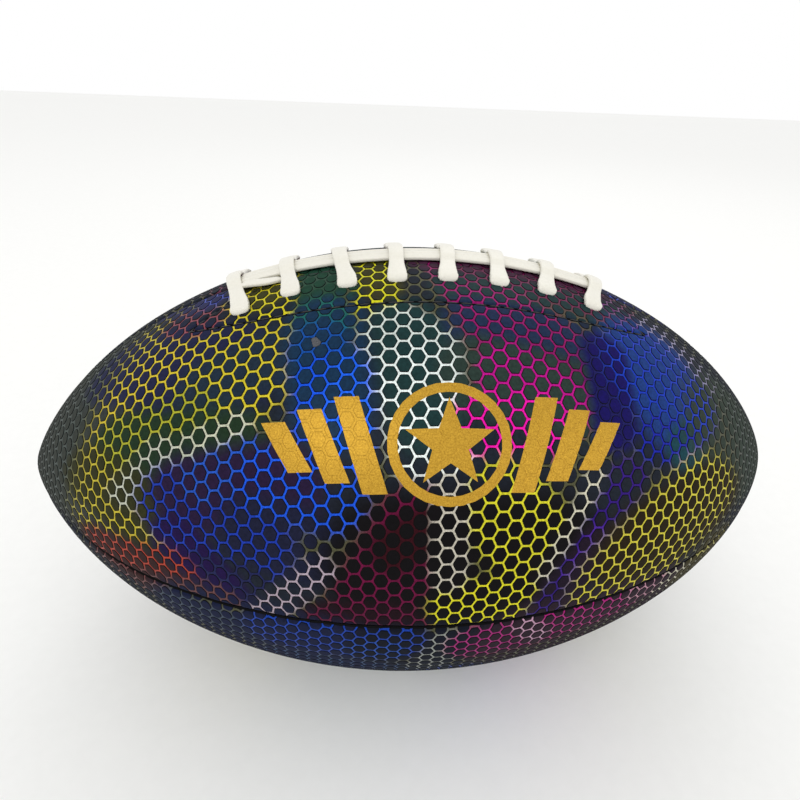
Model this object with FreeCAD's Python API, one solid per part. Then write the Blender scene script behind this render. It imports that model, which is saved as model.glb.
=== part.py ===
import FreeCAD, Part
import math
import os

# American football: four panels sewn inside out round a rubber bladder, laced along the top seam.
# Millimetres. The origin is the ball's centre, +X runs along the ball and +Z points at the lace.
# "depth" is measured inwards from the cover's outer surface, "arc" along the surface from a seam.

# Outline of the ball
HALF_LENGTH = 140.0
MAX_RADIUS = 78.1
END_RADIUS = 147.0
NOSE_RADIUS = 14.0
NOSE_ANGLE = math.radians(33.0)

# Layers, as depths below the outer surface
PANEL_DEPTH = 2.2
LINING_TOP = 2.3
LINING_DEPTH = 3.7
FACING_TOP = 3.8
FACING_DEPTH = 4.8
FLANGE_DEPTH = 4.8
BLADDER_TOP = 5.0
BLADDER_WALL = 1.0
TONGUE_TOP = 9.2
TONGUE_DEPTH = 10.4
RECESS_DEPTH = 10.7
CUT_CLEAR = 2.0

# Seams
SEAM_GAP = 0.3
FLANGE_THICKNESS = 1.5
LINING_CLEAR = 0.15
GROOVE_HALF = 1.1
GROOVE_DEPTH = 1.2
STITCH_PITCH = 4.4
STITCH_WIDTH = 0.9
STITCH_SPAN = 1.9
STITCH_HEIGHT = 0.5
SEAM_END_CLEAR = 7.0

# Lacing
CROSS_COUNT = 8
CROSS_PITCH = 15.0
HOLE_ARC = 14.8
HOLE_RADIUS = 2.0
CROSS_END_ARC = 16.4
CROSS_WIDTH = 4.9
CROSS_SAG = 0.1
CROSS_BEND_ARC = 10.4
CROSS_BEND_RISE = 0.35
LACE_THICKNESS = 1.5
LEG_WIDTH = 3.0
LEG_BOTTOM = -6.7
RUN_LEVEL = -5.6
RUN_WIDTH = 3.6
RUN_THICKNESS = 1.2
STRAND_HALF_LENGTH = 55.0
STRAND_HALF_WIDTH = 4.3
STRAND_BOTTOM = 0.05
STRAND_TOP = 1.75
CROSS_SINK = 0.2
END_LEG_X = 48.5
SLIT_HALF_LENGTH = 60.0
SLIT_HALF_WIDTH = 1.0

# Leaf-shaped stitch line round each row of lace holes
LEAF_HALF_LENGTH = 68.0
LEAF_TIP_ARC = 19.2
LEAF_RISE = 6.4
LEAF_DROP = 13.6
LEAF_POWER = 4.5
LEAF_SEGMENTS = 22
LEAF_GROOVE_HALF = 0.55
LEAF_GROOVE_DEPTH = 0.5
LEAF_STITCH_PITCH = 4.0
LEAF_STITCH_LENGTH = 2.9
LEAF_STITCH_WIDTH = 0.8

# Strips inside the lace opening
FACING_HALF_LENGTH = 76.0
FACING_INNER = 2.2
FACING_OUTER = 29.0
FACING_CORNER = 8.0
TONGUE_HALF_LENGTH = 78.0
TONGUE_HALF_WIDTH = 23.0
TONGUE_CORNER = 10.0
RECESS_HALF_LENGTH = 82.0
RECESS_HALF_WIDTH = 24.6
RECESS_CORNER = 12.0

# Valve, as radii and as depths along its own axis
VALVE_X = -32.0
VALVE_ARC = 36.9
VALVE_HOLE_RADIUS = 1.7
LINING_HOLE_RADIUS = 2.2
NECK_RADIUS = 1.55
NECK_TOP = 0.4
BARREL_RADIUS = 4.0
BARREL_TOP = 4.1
BARREL_BOTTOM = 15.0
VALVE_FLANGE_RADIUS = 5.6
VALVE_FLANGE_TOP = 7.0
VALVE_FLANGE_BOTTOM = 7.8
CAVITY_RADIUS = 2.6
CAVITY_TOP = 4.6
CAVITY_BOTTOM = 14.0
PLUG_RADIUS = 2.55
PLUG_BOTTOM = 12.6
NEEDLE_RADIUS = 0.9
AIR_HOLE_RADIUS = 0.8
VALVE_CLEAR = 0.1

ORIGIN = FreeCAD.Vector(0, 0, 0)
X_AXIS = FreeCAD.Vector(1, 0, 0)
Y_AXIS = FreeCAD.Vector(0, 1, 0)
Z_AXIS = FreeCAD.Vector(0, 0, 1)
FAR = 200.0

# The half outline is three tangent arcs: a wide main arc, an end arc and a small nose arc.
NOSE_X = HALF_LENGTH - NOSE_RADIUS
END_X = NOSE_X - (END_RADIUS - NOSE_RADIUS) * math.cos(NOSE_ANGLE)
END_R = -(END_RADIUS - NOSE_RADIUS) * math.sin(NOSE_ANGLE)
MAIN_RADIUS = ((END_RADIUS ** 2 - END_X ** 2 - (END_R - MAX_RADIUS) ** 2)
               / (2 * (END_R - MAX_RADIUS + END_RADIUS)))
MAIN_R = MAX_RADIUS - MAIN_RADIUS
END_JOIN = math.atan2(END_X, END_R - MAIN_R)
NOSE_JOIN = math.pi / 2 - NOSE_ANGLE
MAIN_LENGTH = MAIN_RADIUS * END_JOIN
END_LENGTH = END_RADIUS * (NOSE_JOIN - END_JOIN)


# ---------------------------------------------------------------- outline

def outline_point(turn, depth):
    """Point of the outline in the XZ plane where the surface normal leans by turn from +Z."""
    side = math.copysign(1.0, turn)
    lean = abs(turn)
    if lean <= END_JOIN:
        x, r, radius = 0.0, MAIN_R, MAIN_RADIUS
    elif lean <= NOSE_JOIN:
        x, r, radius = END_X, END_R, END_RADIUS
    else:
        x, r, radius = NOSE_X, 0.0, NOSE_RADIUS
    reach = radius - depth
    return FreeCAD.Vector(side * (x + reach * math.sin(lean)), 0, r + reach * math.cos(lean))


def outline_edges(depth):
    """The five arcs of the outline at a depth, from the -X tip to the +X tip."""
    turns = [-math.pi / 2, -NOSE_JOIN, -END_JOIN, END_JOIN, NOSE_JOIN, math.pi / 2]
    edges = []
    for start, end in zip(turns, turns[1:]):
        middle = (start + end) / 2
        arc = Part.Arc(outline_point(start, depth), outline_point(middle, depth), outline_point(end, depth))
        edges.append(arc.toShape())
    return edges


def tip(side, depth):
    return FreeCAD.Vector(side * (HALF_LENGTH - depth), 0, 0)


def shell(top, bottom, sweep=360.0):
    """The layer between two depths, swept about the X axis from +Z towards -Y."""
    closing = [Part.makeLine(tip(-1, top), tip(-1, bottom)), Part.makeLine(tip(1, top), tip(1, bottom))]
    wire = Part.Wire(Part.__sortEdges__(outline_edges(top) + closing + outline_edges(bottom)))
    return Part.Face(wire).revolve(ORIGIN, X_AXIS, sweep)


def core(depth):
    """Everything deeper than a depth, as one solid."""
    wire = Part.Wire(Part.__sortEdges__(outline_edges(depth) + [Part.makeLine(tip(-1, depth), tip(1, depth))]))
    return Part.Face(wire).revolve(ORIGIN, X_AXIS, 360.0)


def turn_at_length(length):
    """Lean of the normal at a distance along the outline from the ball's middle."""
    side = math.copysign(1.0, length)
    rest = abs(length)
    if rest <= MAIN_LENGTH:
        return side * rest / MAIN_RADIUS
    if rest <= MAIN_LENGTH + END_LENGTH:
        return side * (END_JOIN + (rest - MAIN_LENGTH) / END_RADIUS)
    return side * (NOSE_JOIN + (rest - MAIN_LENGTH - END_LENGTH) / NOSE_RADIUS)


def seam_length():
    """Half the length of a seam, from the ball's middle to a tip."""
    return MAIN_LENGTH + END_LENGTH + NOSE_RADIUS * (math.pi / 2 - NOSE_JOIN)


def surface_frame(x, arc, height):
    """Point, lengthwise tangent, sideways tangent and normal on the main arc, arc towards -Y."""
    turn = math.asin(x / MAIN_RADIUS)
    top = outline_point(turn, 0.0)
    along = FreeCAD.Vector(math.cos(turn), 0, -math.sin(turn))
    up = FreeCAD.Vector(math.sin(turn), 0, math.cos(turn))
    bend = top.z / math.cos(turn)
    swing = arc / bend
    normal = up * math.cos(swing) - Y_AXIS * math.sin(swing)
    across = Y_AXIS * -math.cos(swing) - up * math.sin(swing)
    return top - up * bend + normal * (bend + height), along, across, normal


def placed(shape, point, along, normal):
    """Moves a shape made round the origin so that its X is along and its Z is normal."""
    turned = FreeCAD.Rotation(along, normal.cross(along), normal, "ZXY")
    shape.Placement = FreeCAD.Placement(point, turned)
    return shape


def block(length, width, height):
    """A box centred on the origin."""
    return Part.makeBox(length, width, height, FreeCAD.Vector(-length / 2, -width / 2, -height / 2))


def post(radius, top, bottom):
    """A cylinder on the Z axis between two depths."""
    return Part.makeCylinder(radius, bottom - top, FreeCAD.Vector(0, 0, -bottom), Z_AXIS)


def slab(half_length, inner, outer, corner):
    """A tall block over the lace with rounded corners, from y = inner to y = outer."""
    solid = Part.makeBox(2 * half_length, outer - inner, FAR, FreeCAD.Vector(-half_length, inner, 0))
    uprights = [edge for edge in solid.Edges if abs(edge.Vertexes[0].Z - edge.Vertexes[-1].Z) > 1.0]
    return solid.makeFillet(corner, uprights)


def mirrored_to_back(shape):
    """The same shape on the +Y side."""
    return shape.mirror(ORIGIN, Y_AXIS)


# ---------------------------------------------------------------- holes and grooves

def cross_places():
    """X of each cross stitch."""
    middle = (CROSS_COUNT - 1) / 2
    return [(number - middle) * CROSS_PITCH for number in range(CROSS_COUNT)]


def lace_holes():
    """Punches for the row of lace holes on the -Y side."""
    punches = []
    for x in cross_places():
        point, along, across, normal = surface_frame(x, HOLE_ARC, 0.0)
        punches.append(placed(post(HOLE_RADIUS, -CUT_CLEAR, FLANGE_DEPTH + CUT_CLEAR), point, along, normal))
    return punches


def valve_post(radius, top, bottom):
    """A cylinder on the valve's axis between two depths."""
    point, along, across, normal = surface_frame(VALVE_X, VALVE_ARC, 0.0)
    return placed(post(radius, top, bottom), point, along, normal)


def leaf_arc(x, outer, shift):
    """Distance of the leaf line from the seam. shift moves it away from the leaf's middle."""
    share = 1 - (abs(x) / LEAF_HALF_LENGTH) ** LEAF_POWER
    if outer:
        return LEAF_TIP_ARC + LEAF_RISE * share + shift
    return LEAF_TIP_ARC - LEAF_DROP * share - shift


def leaf_places():
    """X stations of the leaf, closer together towards its tips."""
    turns = [math.pi * step / LEAF_SEGMENTS for step in range(LEAF_SEGMENTS + 1)]
    return [-LEAF_HALF_LENGTH * math.cos(turn) for turn in turns]


def leaf_plan(shift):
    """Flat face inside the leaf line, seen from above, on the -Y side."""
    stretch = 1 + shift / LEAF_HALF_LENGTH
    outer = [surface_frame(x * stretch, leaf_arc(x, True, shift), 0.0)[0] for x in leaf_places()]
    inner = [surface_frame(x * stretch, leaf_arc(x, False, shift), 0.0)[0] for x in leaf_places()]
    loop = [FreeCAD.Vector(point.x, point.y, 0) for point in outer + inner[::-1]]
    return Part.Face(Part.makePolygon(loop + loop[:1]))


def leaf_groove():
    """Shallow channel along the leaf line, in which the facing stitches lie."""
    band = leaf_plan(LEAF_GROOVE_HALF).cut(leaf_plan(-LEAF_GROOVE_HALF))
    return band.extrude(Z_AXIS * FAR).common(shell(-CUT_CLEAR, LEAF_GROOVE_DEPTH, 90.0))


def corner(margin):
    """The quarter of space between the lace seam and the front seam, kept clear of both."""
    return Part.makeBox(2 * FAR, FAR, FAR, FreeCAD.Vector(-FAR, -FAR - margin, margin))


# ---------------------------------------------------------------- cover and lining

def plain_panel():
    """A quarter of the cover with turned-in sewing edges and a groove along its seams."""
    panel = shell(0.0, FLANGE_DEPTH, 90.0).common(corner(SEAM_GAP / 2))
    pocket = shell(PANEL_DEPTH, FLANGE_DEPTH + CUT_CLEAR, 90.0).common(corner(SEAM_GAP / 2 + FLANGE_THICKNESS))
    groove = shell(-CUT_CLEAR, GROOVE_DEPTH, 90.0).cut(corner(GROOVE_HALF))
    return panel.cut(pocket).cut(groove)


def lace_opening():
    """Room for the lace: no sewing edge along the slit, and a slit wide enough for the lace's ends."""
    reach = 2 * (SEAM_GAP / 2 + FLANGE_THICKNESS + LINING_CLEAR)
    edge_box = Part.makeBox(2 * SLIT_HALF_LENGTH, reach, FAR, FreeCAD.Vector(-SLIT_HALF_LENGTH, -reach / 2, 0))
    slit = Part.makeBox(2 * SLIT_HALF_LENGTH, 2 * SLIT_HALF_WIDTH, FAR,
                        FreeCAD.Vector(-SLIT_HALF_LENGTH, -SLIT_HALF_WIDTH, 0))
    return edge_box.common(core(PANEL_DEPTH)), slit


def laced_panel():
    """A panel with its half of the lace opening, its lace holes and its stitch groove."""
    edge_room, slit = lace_opening()
    panel = plain_panel().cut(edge_room).cut(slit)
    for punch in lace_holes():
        panel = panel.cut(punch)
    return panel.cut(leaf_groove())


def plain_lining():
    margin = SEAM_GAP / 2 + FLANGE_THICKNESS + LINING_CLEAR
    return shell(LINING_TOP, LINING_DEPTH, 90.0).common(corner(margin))


def laced_lining():
    lining = plain_lining()
    for punch in lace_holes():
        lining = lining.cut(punch)
    return lining


def lace_facing():
    """Reinforcing strip behind the -Y row of lace holes."""
    strip = slab(FACING_HALF_LENGTH, -FACING_OUTER, -FACING_INNER, FACING_CORNER)
    strip = strip.common(shell(FACING_TOP, FACING_DEPTH, 90.0))
    for punch in lace_holes():
        strip = strip.cut(punch)
    return strip


def lace_tongue():
    strip = slab(TONGUE_HALF_LENGTH, -TONGUE_HALF_WIDTH, TONGUE_HALF_WIDTH, TONGUE_CORNER)
    return strip.common(shell(TONGUE_TOP, TONGUE_DEPTH))


# ---------------------------------------------------------------- bladder and valve

def pressed_core(depth, wall):
    """A ball-shaped core with the hollow that the lacing presses into it."""
    hollow = slab(RECESS_HALF_LENGTH + wall, -RECESS_HALF_WIDTH - wall, RECESS_HALF_WIDTH + wall,
                  RECESS_CORNER + wall)
    return core(depth + wall).cut(hollow.cut(core(RECESS_DEPTH + wall)))


def bladder():
    skin = pressed_core(BLADDER_TOP, 0.0).cut(pressed_core(BLADDER_TOP, BLADDER_WALL))
    return skin.cut(valve_post(BARREL_RADIUS + VALVE_CLEAR, BARREL_TOP, VALVE_FLANGE_TOP + CUT_CLEAR))


def valve_patch():
    """Ring that fills the gap between the flat valve flange and the curved bladder wall."""
    ring = valve_post(VALVE_FLANGE_RADIUS, BLADDER_TOP, VALVE_FLANGE_TOP)
    ring = ring.common(core(BLADDER_TOP + BLADDER_WALL))
    return ring.cut(valve_post(BARREL_RADIUS + VALVE_CLEAR, BARREL_TOP, BARREL_BOTTOM))


def valve_body():
    body = valve_post(BARREL_RADIUS, BARREL_TOP, BARREL_BOTTOM)
    body = body.fuse(valve_post(NECK_RADIUS, NECK_TOP, CAVITY_TOP))
    body = body.fuse(valve_post(VALVE_FLANGE_RADIUS, VALVE_FLANGE_TOP, VALVE_FLANGE_BOTTOM))
    body = body.cut(valve_post(CAVITY_RADIUS, CAVITY_TOP, CAVITY_BOTTOM))
    body = body.cut(valve_post(NEEDLE_RADIUS, 0.0, CAVITY_TOP + CUT_CLEAR))
    return body.cut(valve_post(AIR_HOLE_RADIUS, CAVITY_BOTTOM - CUT_CLEAR, BARREL_BOTTOM + CUT_CLEAR))


def valve_plug():
    """Self-sealing insert, drawn with the channel that a needle opens in it."""
    plug = valve_post(PLUG_RADIUS, CAVITY_TOP, PLUG_BOTTOM)
    return plug.cut(valve_post(NEEDLE_RADIUS, CAVITY_TOP - CUT_CLEAR, PLUG_BOTTOM + CUT_CLEAR))


# ---------------------------------------------------------------- threads

def seam_thread(first, last, angle):
    """Stitch bars across the groove of the lace seam from first to last, turned to another seam."""
    steps = int((last - first) / STITCH_PITCH)
    bars = []
    for number in range(steps + 1):
        turn = turn_at_length(first + number * STITCH_PITCH)
        along = FreeCAD.Vector(math.cos(turn), 0, -math.sin(turn))
        normal = FreeCAD.Vector(math.sin(turn), 0, math.cos(turn))
        middle = outline_point(turn, GROOVE_DEPTH - STITCH_HEIGHT / 2)
        bars.append(placed(block(STITCH_WIDTH, STITCH_SPAN, STITCH_HEIGHT), middle, along, normal))
    group = Part.makeCompound(bars)
    group.rotate(ORIGIN, X_AXIS, angle)
    return group


def facing_stitches():
    """Stitch bars in the leaf groove on the -Y side, evenly spaced along each side of the leaf."""
    bars = []
    height = LEAF_GROOVE_DEPTH / 2
    for outer in (True, False):
        x = -LEAF_HALF_LENGTH + LEAF_STITCH_PITCH / 2
        while x < LEAF_HALF_LENGTH - LEAF_STITCH_PITCH / 2:
            point, along, across, normal = surface_frame(x, leaf_arc(x, outer, 0.0), -height)
            ahead = surface_frame(x + 1.0, leaf_arc(x + 1.0, outer, 0.0), -height)[0]
            heading = (ahead - point).normalize()
            bars.append(placed(block(LEAF_STITCH_LENGTH, LEAF_STITCH_WIDTH, height), point, heading, normal))
            x += LEAF_STITCH_PITCH * abs(heading.x)
    return Part.makeCompound(bars)


# ---------------------------------------------------------------- lace

def cross_stitch(x):
    """One cross stitch: a band that rises over the lengthwise strand and lands beyond the holes."""
    ride = STRAND_TOP + LACE_THICKNESS / 2 - CROSS_SINK
    land = STRAND_BOTTOM + LACE_THICKNESS / 2
    stations = [(0.0, ride), (STRAND_HALF_WIDTH, ride - CROSS_SAG), (CROSS_BEND_ARC, land + CROSS_BEND_RISE),
                (CROSS_END_ARC, land)]
    stations = [(-arc, height) for arc, height in stations[:0:-1]] + stations
    edges = []
    ends = []
    for offset in (LACE_THICKNESS / 2, -LACE_THICKNESS / 2):
        points = [surface_frame(x, arc, height + offset)[0] for arc, height in stations]
        curve = Part.BSplineCurve()
        curve.interpolate(points)
        edges.append(curve.toShape())
        ends.append((points[0], points[-1]))
    edges.append(Part.makeLine(ends[0][0], ends[1][0]))
    edges.append(Part.makeLine(ends[0][1], ends[1][1]))
    face = Part.Face(Part.Wire(Part.__sortEdges__(edges)))
    along = surface_frame(x, 0.0, 0.0)[1]
    face.translate(along * (-CROSS_WIDTH / 2))
    return face.extrude(along * CROSS_WIDTH)


def leg(x, arc):
    """The lace's way down through a hole or through the slit."""
    top = STRAND_BOTTOM + LACE_THICKNESS / 2
    point, along, across, normal = surface_frame(x, arc, (top + LEG_BOTTOM) / 2)
    return placed(block(LEG_WIDTH, LACE_THICKNESS, top - LEG_BOTTOM), point, along, normal)


def inner_run(start, end):
    """A flat run inside the ball between two places given as (x, arc)."""
    first = surface_frame(start[0], start[1], RUN_LEVEL)[0]
    last = surface_frame(end[0], end[1], RUN_LEVEL)[0]
    heading = (last - first).normalize()
    side = Z_AXIS.cross(heading).normalize()
    length = first.distanceToPoint(last)
    bar = block(length + LEG_WIDTH / 2, RUN_WIDTH, RUN_THICKNESS)
    return placed(bar, (first + last) * 0.5, heading, heading.cross(side))


def strand():
    """The double lengthwise strand on the seam."""
    turn = math.asin(STRAND_HALF_LENGTH / MAIN_RADIUS)
    edges = []
    for height in (STRAND_BOTTOM, STRAND_TOP):
        points = [outline_point(lean, -height) for lean in (-turn, 0.0, turn)]
        edges.append(Part.Arc(points[0], points[1], points[2]).toShape())
    for side in (-turn, turn):
        edges.append(Part.makeLine(outline_point(side, -STRAND_BOTTOM), outline_point(side, -STRAND_TOP)))
    face = Part.Face(Part.Wire(Part.__sortEdges__(edges)))
    face.translate(Y_AXIS * -STRAND_HALF_WIDTH)
    return face.extrude(Y_AXIS * 2 * STRAND_HALF_WIDTH)


def lace():
    """One continuous lace: strand, cross stitches, legs through the holes and runs inside."""
    places = cross_places()
    pieces = [strand(), leg(-END_LEG_X, 0.0), leg(END_LEG_X, 0.0)]
    for x in places:
        pieces += [cross_stitch(x), leg(x, HOLE_ARC), leg(x, -HOLE_ARC)]
    for here, there in zip(places, places[1:]):
        pieces.append(inner_run((here, -HOLE_ARC), (there, HOLE_ARC)))
    pieces.append(inner_run((-END_LEG_X, 0.0), (places[0], HOLE_ARC)))
    pieces.append(inner_run((END_LEG_X, 0.0), (places[-1], -HOLE_ARC)))
    return pieces[0].multiFuse(pieces[1:])


# ---------------------------------------------------------------- output

def write(node, shape):
    """Writes one sub-part and prints its size and soundness."""
    box = shape.BoundBox
    print(f"{node:26s} solids {len(shape.Solids):3d} volume {shape.Volume / 1000:8.2f} cm3 "
          f"valid {shape.isValid()} z {box.ZMin:7.2f} {box.ZMax:7.2f}")
    shape.exportStep(f"parts/{node}.step")


def write_cover():
    laced = laced_panel()
    write("panel_front_upper", laced.cut(valve_post(VALVE_HOLE_RADIUS, -CUT_CLEAR, FLANGE_DEPTH)))
    write("panel_back_upper", mirrored_to_back(laced))
    plain = plain_panel()
    write("panel_front_lower", plain.mirror(ORIGIN, Z_AXIS))
    write("panel_back_lower", mirrored_to_back(plain.mirror(ORIGIN, Z_AXIS)))


def write_linings():
    laced = laced_lining()
    write("lining_front_upper", laced.cut(valve_post(LINING_HOLE_RADIUS, 0.0, FLANGE_DEPTH)))
    write("lining_back_upper", mirrored_to_back(laced))
    plain = plain_lining()
    write("lining_front_lower", plain.mirror(ORIGIN, Z_AXIS))
    write("lining_back_lower", mirrored_to_back(plain.mirror(ORIGIN, Z_AXIS)))


def write_threads():
    end = seam_length() - SEAM_END_CLEAR
    opening = MAIN_RADIUS * math.asin(SLIT_HALF_LENGTH / MAIN_RADIUS) + STITCH_PITCH
    write("seam_thread_front", seam_thread(-end, end, 90.0))
    write("seam_thread_bottom", seam_thread(-end, end, 180.0))
    write("seam_thread_back", seam_thread(-end, end, 270.0))
    write("seam_thread_lace_left", seam_thread(-end, -opening, 0.0))
    write("seam_thread_lace_right", seam_thread(opening, end, 0.0))
    stitches = facing_stitches()
    write("facing_stitches_front", stitches)
    write("facing_stitches_back", mirrored_to_back(stitches))


def write_inside():
    facing = lace_facing()
    write("lace_facing_front", facing)
    write("lace_facing_back", mirrored_to_back(facing))
    write("lace_tongue", lace_tongue())
    write("bladder", bladder())
    write("valve_patch", valve_patch())
    write("valve_body", valve_body())
    write("valve_plug", valve_plug())


def main():
    os.makedirs("parts", exist_ok=True)
    write_cover()
    write_linings()
    write_inside()
    write("lace", lace())
    write_threads()


main()
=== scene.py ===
"""American football: four honeycomb-foil panels, a white lace, stitched seams and a gold foil emblem.

Sizes in the classes are millimetres and angles are degrees unless a name says otherwise. Meshes are in
metres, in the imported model's own frame: +X along the ball, +Z through the lace, -Y towards the valve.
"""

import logging
import math
from dataclasses import dataclass, field
from enum import Enum, IntEnum
from typing import Callable, Iterable, Sequence

import bmesh
import bpy
import numpy as np
from mathutils import Matrix, Vector


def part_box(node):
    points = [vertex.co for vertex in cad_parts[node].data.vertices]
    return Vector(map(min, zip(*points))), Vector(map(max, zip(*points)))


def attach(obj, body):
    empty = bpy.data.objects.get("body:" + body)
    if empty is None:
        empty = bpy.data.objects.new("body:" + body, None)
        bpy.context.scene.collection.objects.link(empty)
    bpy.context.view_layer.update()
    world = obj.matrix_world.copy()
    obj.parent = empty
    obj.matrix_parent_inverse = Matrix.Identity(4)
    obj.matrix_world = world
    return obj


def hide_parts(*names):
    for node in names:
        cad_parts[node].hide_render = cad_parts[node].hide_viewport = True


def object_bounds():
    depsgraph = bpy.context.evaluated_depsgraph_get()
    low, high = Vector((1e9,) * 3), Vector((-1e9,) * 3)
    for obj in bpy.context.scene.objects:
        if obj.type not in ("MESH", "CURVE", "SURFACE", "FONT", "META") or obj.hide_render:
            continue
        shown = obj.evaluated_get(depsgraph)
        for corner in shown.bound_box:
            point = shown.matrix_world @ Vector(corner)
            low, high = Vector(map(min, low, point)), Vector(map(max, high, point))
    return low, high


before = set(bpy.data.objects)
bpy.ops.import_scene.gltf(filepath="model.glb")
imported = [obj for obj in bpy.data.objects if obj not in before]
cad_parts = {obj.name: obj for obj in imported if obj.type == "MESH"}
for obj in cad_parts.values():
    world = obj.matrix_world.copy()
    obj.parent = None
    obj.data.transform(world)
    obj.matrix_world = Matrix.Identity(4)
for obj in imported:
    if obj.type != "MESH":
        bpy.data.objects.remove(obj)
CAD_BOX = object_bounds()
LOG = logging.getLogger("football")
MM = 0.001
BODY = "root"

# Where the valve sits: along the ball from its middle, and round it from the lace seam.
VALVE_X = -32.0
VALVE_ARC = 36.9

Array = np.ndarray
Polygon = list[tuple[float, float, float]]
Measure = Callable[[Array, Array], Array]


# ------------------------------------------------------------------ small helpers

def linear(hex_colour: str) -> tuple[float, float, float]:
    """Turns an sRGB hex colour into linear values.

    Args:
        hex_colour: Six hex digits, with or without a leading #.

    Returns:
        Red, green and blue from 0 to 1, linear.
    """
    digits = hex_colour.lstrip("#")
    values = [int(digits[i:i + 2], 16) / 255 for i in (0, 2, 4)]
    return tuple(v / 12.92 if v <= 0.04045 else ((v + 0.055) / 1.055) ** 2.4 for v in values)


def rgba(hex_colour: str) -> tuple[float, float, float, float]:
    """The same colour with full opacity."""
    return (*linear(hex_colour), 1.0)


def add(tree: bpy.types.NodeTree, kind: str, inputs: dict | None = None,
        **settings: object) -> bpy.types.Node:
    """Adds one node with its settings and links.

    Args:
        tree: The node tree.
        kind: The node's type name.
        inputs: Input name or index to a socket, which is linked, or to a plain value.
        **settings: Properties of the node.

    Returns:
        The new node.
    """
    node = tree.nodes.new(kind)
    for name, value in settings.items():
        setattr(node, name, value)
    for key, value in (inputs or {}).items():
        if isinstance(value, bpy.types.NodeSocket):
            tree.links.new(value, node.inputs[key])
        else:
            node.inputs[key].default_value = value
    return node


def smooth(values: Array) -> Array:
    """Smooth step of values clipped to 0..1."""
    t = np.clip(values, 0.0, 1.0)
    return t * t * (3 - 2 * t)


def mesh_object(name: str, points: Array, faces: Sequence[Sequence[int]],
                materials: Sequence[bpy.types.Material],
                slots: Sequence[int] | None = None) -> bpy.types.Object:
    """Makes a smooth mesh object at the origin.

    Args:
        name: The piece's name.
        points: Positions in millimetres.
        faces: Vertex numbers of each face.
        materials: The material slots.
        slots: Slot number of each face; all 0 if left out.

    Returns:
        The linked object.
    """
    mesh = bpy.data.meshes.new(name)
    mesh.from_pydata((np.asarray(points) * MM).tolist(), [], [list(f) for f in faces])
    for material in materials:
        mesh.materials.append(material)
    mesh.polygons.foreach_set("use_smooth", [True] * len(faces))
    if slots is not None:
        mesh.polygons.foreach_set("material_index", list(slots))
    mesh.update()
    piece = bpy.data.objects.new(name, mesh)
    bpy.context.scene.collection.objects.link(piece)
    return piece


def settle(piece: bpy.types.Object, slot: str, *nodes: str) -> None:
    """Puts a finished piece on the ball and reports it.

    Args:
        piece: The finished piece.
        slot: Name of its looks slot; not used.
        *nodes: CAD nodes that it stands for.
    """
    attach(piece, BODY)
    if nodes:
        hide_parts(*nodes)
    LOG.info("%s: %d faces", piece.name, len(piece.data.polygons))


# ------------------------------------------------------------------ the ball's outline

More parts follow.
